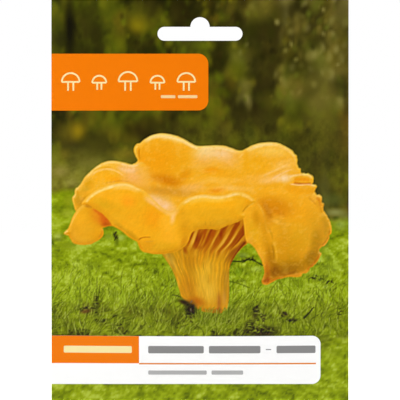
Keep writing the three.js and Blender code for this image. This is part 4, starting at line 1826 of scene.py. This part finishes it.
@dataclass(frozen=True)
class FrontPrint:
    """The front film's print: the picture in process colours, with flat inks laid over it."""

    orange: str = "#f27a00"
    paper_white: str = "#ffffff"
    cream: str = "#f8e6a6"
    charcoal: str = "#4a4848"
    rule: str = "#e08020"
    grain: float = 0.03
    film: SatinLaminate = SatinLaminate()

    TAB = Block(-10, 20.35, 58.6, 41.6, 3.8)
    CAPS = ((7.2, 30.9, 3.3), (17.9, 31.2, 2.6), (28.6, 30.7, 3.5), (39.6, 31.2, 2.6), (50.4, 30.9, 3.3))
    LABEL = Block(-10, 125.65, 100.5, 143.7, 3.2)
    CORNER = Block(-10, 125.65, 32.8, 135.9)
    RULE = Block(32.8, 135.75, 98.8, 136.3)
    TITLE = (
        Block(36.2, 129.3, 56.9, 132.1, 0.5),
        Block(58.8, 129.3, 78.0, 132.1, 0.5),
        Block(84.0, 129.3, 98.6, 132.1, 0.5),
    )
    DASH = Block(80.0, 130.5, 82.0, 130.9)
    SECOND = (Block(36.2, 138.6, 58.0, 140.2, 0.4), Block(59.8, 138.6, 71.6, 140.2, 0.4))
    FAMILY = Block(4.6, 129.4, 30.1, 132.0, 0.5)
    STRAP = (Block(40.9, 35.9, 46.3, 37.0, 0.3), Block(47.3, 35.9, 54.5, 37.0, 0.3))

    def dress(self, packet: Packet, plates: InkPlates) -> bpy.types.Material:
        """Makes the material.

        Args:
            packet: The packet's sizes.
            plates: The ink groups.

        Returns:
            The material of the front film's outer face.
        """
        material, tree, shader = new_material("pet_laminate_gravure_printed")
        # gravure inks behind clear film: deep even colour right up to clean edges, with no relief
        picture = add_node(tree, "ShaderNodeAttribute", attribute_name=FrontFilm.PICTURE)
        face = PrintedFace(tree, packet, plates, self._grained(tree, picture.outputs["Color"]))
        face.lay(self.orange, face.blocks(self.TAB))
        face.lay(self.cream, face.marks(0.62, *self.CAPS))
        face.lay(self.cream, face.blocks(*self.STRAP), 0.75)
        face.lay(self.paper_white, face.blocks(self.LABEL))
        face.lay(self.orange, face.blocks(self.CORNER))
        face.lay(self.rule, face.blocks(self.RULE))
        face.lay(self.cream, face.blocks(self.FAMILY))
        face.lay(self.charcoal, face.blocks(*self.TITLE, self.DASH), 0.8)
        face.lay(self.charcoal, face.blocks(*self.SECOND), 0.6)
        feed(tree, shader, {"Base Color": face.colour})
        self.film.coat(tree, shader, packet)
        return material

    def _grained(self, tree: bpy.types.NodeTree, colour: Any) -> Any:
        """Breaks the picture up with the fine grain of its printing screen, coarse enough to show.

        Args:
            tree: The node tree.
            colour: The picture's colour.

        Returns:
            The colour with its grain.
        """
        here = add_node(tree, "ShaderNodeTexCoord").outputs["Object"]
        # a real screen of 0.15 mm is too fine to show, so the grain is drawn at 0.35 mm
        screen = add_node(
            tree, "ShaderNodeTexNoise", {"Vector": here, "Scale": 1 / (0.35 * MM), "Detail": 1.0}
        )
        ends = {"To Min": 1 - 2 * self.grain, "To Max": 1 + 2 * self.grain}
        bright = add_node(tree, "ShaderNodeMapRange", {"Value": screen, **ends})
        return add_node(tree, "ShaderNodeVectorMath", {0: colour, "Scale": bright}, operation="SCALE")


@dataclass(frozen=True)
class BackPrint:
    """The back film's print: cream, with an orange band and greeked lines of plain charcoal."""

    cream: str = "#f6f1e2"
    orange: str = "#f57c01"
    green: str = "#7f9a22"
    charcoal: str = "#4a4848"
    white: str = "#ffffff"
    film: SatinLaminate = SatinLaminate(specular_level=0.3)

    BAND = Block(-10, 20.35, 121, 30.5)
    BAND_LINE = Block(34, 24.2, 77, 26.8, 0.5)
    FOOT_BAND = Block(-10, 138, 121, 160)
    FRAME = Block(70.6, 72.6, 99.4, 98.4, 2.0)
    FRAMED = Block(71.4, 73.4, 98.6, 97.6, 1.4)
    DATE_EDGE = Block(69.7, 103.7, 99.3, 126.3, 0.8)
    DATE_BOX = Block(70, 104, 99, 126, 0.6)
    TEXTS = (Block(12, 37, 99, 54), Block(12, 58, 99, 69), Block(12, 73, 64, 95), Block(12, 100, 64, 124.5))

    def dress(self, packet: Packet, plates: InkPlates) -> bpy.types.Material:
        """Makes the material.

        Args:
            packet: The packet's sizes.
            plates: The ink groups.

        Returns:
            The material of the back film's outer face.
        """
        material, tree, shader = new_material("pet_laminate_back_printed")
        # flat inks behind the same film, which the eye sees as plain matt colour under a thin sheen
        face = PrintedFace(tree, packet, plates, linear(self.cream))
        face.lay(self.orange, face.blocks(self.BAND))
        face.lay(self.green, face.blocks(self.FOOT_BAND))
        face.lay(self.cream, face.blocks(self.BAND_LINE))
        for text in self.TEXTS:
            face.lay(self.charcoal, face.words(text, 2.5, 0.95), 0.72)
        face.lay(self.green, face.blocks(self.FRAME))
        face.lay(self.cream, face.blocks(self.FRAMED))
        face.lay(self.orange, face.marks(0.8, (85, 84.5, 7.0)))
        face.lay(self.charcoal, face.blocks(self.DATE_EDGE), 0.45)
        face.lay(self.white, face.blocks(self.DATE_BOX))
        feed(tree, shader, {"Base Color": face.colour})
        self.film.coat(tree, shader, packet)
        return material


@dataclass(frozen=True)
class FilmCore:
    """The laminate's white polyethylene sealing web, bare on its inner face and at its cut edges."""

    colour: str = "#f3f2ee"
    cloud: str = "#e9e8e2"
    cloud_pitch: float = 4.0
    roughness: float = 0.5

    def dress(self) -> bpy.types.Material:
        """Makes the material, faintly cloudy as blown film is."""
        material, tree, shader = new_material("polyethylene_blown_film")
        here = add_node(tree, "ShaderNodeTexCoord").outputs["Object"]
        # blown film is milky, and very slightly more so in some places than in others
        cloud = add_node(tree, "ShaderNodeTexNoise", {"Vector": here, "Scale": 1 / (self.cloud_pitch * MM)})
        tint = add_node(
            tree,
            "ShaderNodeMix",
            {"Factor": cloud, 6: linear(self.colour), 7: linear(self.cloud)},
            data_type="RGBA",
        )
        feed(tree, shader, {"Base Color": tint.outputs[2], "Roughness": self.roughness})
        return material


@dataclass(frozen=True)
class DriedSpawn:
    """Dried grain spawn: matt tan husks with pale threads of mycelium grown over them."""

    husk: str = "#a98554"
    shade: str = "#7d5c33"
    thread: str = "#e9e2d0"
    grain: float = 2.2
    mesh: float = 1.6
    roughness: float = 0.88

    def dress(self) -> bpy.types.Material:
        """Makes the material."""
        material, tree, shader = new_material("millet_grain_overgrown_and_dried")
        here = add_node(tree, "ShaderNodeTexCoord").outputs["Object"]
        # the husks are dull and patchy, each about the size of a millet grain
        patch = add_node(
            tree, "ShaderNodeTexNoise", {"Vector": here, "Scale": 1 / (self.grain * MM), "Detail": 3.0}
        )
        husks = add_node(
            tree,
            "ShaderNodeMix",
            {"Factor": patch, 6: linear(self.shade), 7: linear(self.husk)},
            data_type="RGBA",
        )
        # threads a few hundredths of a millimetre thick wouldn't show, so they are drawn as pale
        # seams between cells, which fade out within 0.2 mm
        web = add_node(
            tree,
            "ShaderNodeTexVoronoi",
            {"Vector": here, "Scale": 1 / (self.mesh * MM)},
            feature="DISTANCE_TO_EDGE",
        )
        ends = {"From Min": 0.0, "From Max": 0.12, "To Min": 1.0, "To Max": 0.0}
        threads = add_node(tree, "ShaderNodeMapRange", {"Value": web, **ends})
        mixed = add_node(
            tree,
            "ShaderNodeMix",
            {"Factor": threads, 6: husks.outputs[2], 7: linear(self.thread)},
            data_type="RGBA",
        )
        bump = add_node(tree, "ShaderNodeBump", {"Height": patch, "Distance": 0.2 * MM})
        finish = {"Base Color": mixed.outputs[2], "Roughness": self.roughness, "Normal": bump}
        feed(tree, shader, finish)
        return material


# ---- Studio ----


@dataclass(frozen=True)
class SoftBox:
    """A square area light, in metres and watts."""

    name: str
    place: tuple[float, float, float]
    size: float
    power: float


@dataclass
class Studio:
    """A pale floor, soft light from both sides and a level camera that fills its frame with the packet."""

    packet: Packet
    lens: float = 100.0
    sensor: float = 36.0
    floor_drop: float = 30.0
    floor_size: float = 6.0
    sky: float = 0.15
    board_glow: float = 0.92
    # a touch closer than fills the frame, so that no strip of the surround shows above the packet
    close_in: float = 0.9965
    boxes: tuple[SoftBox, ...] = (
        SoftBox("key_softbox", (-0.62, -0.50, 0.16), 0.55, 4.75),
        SoftBox("fill_softbox", (0.66, -0.52, 0.0), 0.6, 4.0),
        SoftBox("back_key_softbox", (0.55, 0.55, 0.30), 0.6, 4.1),
        SoftBox("back_fill_softbox", (-0.60, 0.50, 0.05), 0.6, 3.1),
    )

    def build(self) -> None:
        """Sets up the floor, the lights, the surround and the camera."""
        self._floor()
        for box in self.boxes:
            self._light(box)
        self._surround()
        self._camera()
        scene = bpy.context.scene
        scene.view_settings.view_transform = "Standard"
        scene.view_settings.look = "None"

    def _floor(self) -> None:
        """A large level floor a little below the packet."""
        bm = bmesh.new()
        bmesh.ops.create_grid(bm, x_segments=1, y_segments=1, size=self.floor_size / 2)
        height = (self.packet.foot - self.floor_drop) * MM
        bmesh.ops.translate(bm, verts=bm.verts[:], vec=(0, 0, height))
        floor = put_in_scene("studio_floor", mesh_of(bm, "studio_floor"))
        material, tree, shader = new_material("acrylic_light_board_opal")
        # the board is lit from behind, so it stays nearly white in the packet's shadow
        seen = add_node(tree, "ShaderNodeLightPath").outputs["Is Camera Ray"]
        glow = add_node(tree, "ShaderNodeMath", {0: seen, 1: self.board_glow}, operation="MULTIPLY")
        matt = {"Base Color": linear("#f4f4f2"), "Roughness": 0.9, "Specular IOR Level": 0.1}
        lit = {"Emission Color": linear("#ffffff"), "Emission Strength": glow}
        feed(tree, shader, {**matt, **lit})
        floor.data.materials.append(material)

    def _light(self, box: SoftBox) -> None:
        """Hangs one soft box, turned to the middle of the packet.

        Args:
            box: The soft box.
        """
        light = bpy.data.lights.new(box.name, "AREA")
        light.shape = "SQUARE"
        light.size = box.size
        light.energy = box.power
        lamp = put_in_scene(box.name, light)
        lamp.location = box.place
        aim = self.packet.middle - Vector(box.place)
        lamp.rotation_euler = aim.to_track_quat("-Z", "Y").to_euler()

    def _surround(self) -> None:
        """A white surround to look at, which gives a softer level of light than it shows."""
        world = bpy.data.worlds.new("pale_surround")
        world.use_nodes = True
        tree = world.node_tree
        tree.nodes.clear()
        seen = add_node(tree, "ShaderNodeLightPath").outputs["Is Camera Ray"]
        level = add_node(tree, "ShaderNodeMapRange", {"Value": seen, "To Min": self.sky, "To Max": 1.0})
        glow = add_node(tree, "ShaderNodeBackground", {"Color": (1, 1, 1, 1), "Strength": level})
        add_node(tree, "ShaderNodeOutputWorld", {"Surface": glow})
        bpy.context.scene.world = world

    def _camera(self) -> None:
        """A level camera straight in front, as far off as makes the packet as tall as the frame."""
        data = bpy.data.cameras.new("camera")
        data.lens = self.lens
        data.sensor_width = self.sensor
        data.clip_end = 50
        distance = self.close_in * self.packet.height / 2 * MM * self.lens / (self.sensor / 2)
        camera = put_in_scene("camera", data)
        camera.location = self.packet.middle - Vector((0, distance, 0))
        camera.rotation_euler = (math.pi / 2, 0, 0)
        bpy.context.scene.camera = camera


# ---- Assembly ----


def report(piece: bpy.types.Object) -> None:
    """Logs a piece's name and its triangles."""
    piece.data.calc_loop_triangles()
    LOG.info("%s: %d triangles", piece.name, len(piece.data.loop_triangles))


def place(piece: bpy.types.Object, node: str, slot: str, materials: Sequence[bpy.types.Material]) -> None:
    """Hands a finished piece to the frame.

    Args:
        piece: The piece.
        node: The CAD node that it stands for.
        slot: The record's material slot; not used.
        materials: Its materials, in the order of its slots.
    """
    for material in materials:
        piece.data.materials.append(material)
    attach(piece, "root")
    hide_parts(node)
    report(piece)


def main() -> None:
    """Builds the packet round the frame, and the studio round the packet."""
    logging.basicConfig(level=logging.INFO, format="%(name)s: %(message)s")
    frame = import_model()
    packet = Packet.from_frame()
    Studio(packet).build()
    plates = InkPlates()
    core = FilmCore().dress()
    front = FrontFilm("printed_front_film", Side.FRONT, packet).make()
    place(front, "front_film", "front_film", [FrontPrint().dress(packet, plates), core])
    back = Film("printed_back_film", Side.BACK, packet).build(cuts=1)
    place(back, "back_film", "back_film", [BackPrint().dress(packet, plates), core])
    spawn = frame["nodes"]["spawn_fill"]
    spawn.data.materials.clear()
    spawn.data.materials.append(DriedSpawn().dress())
    report(spawn)


if __name__ == "__main__":
    main()
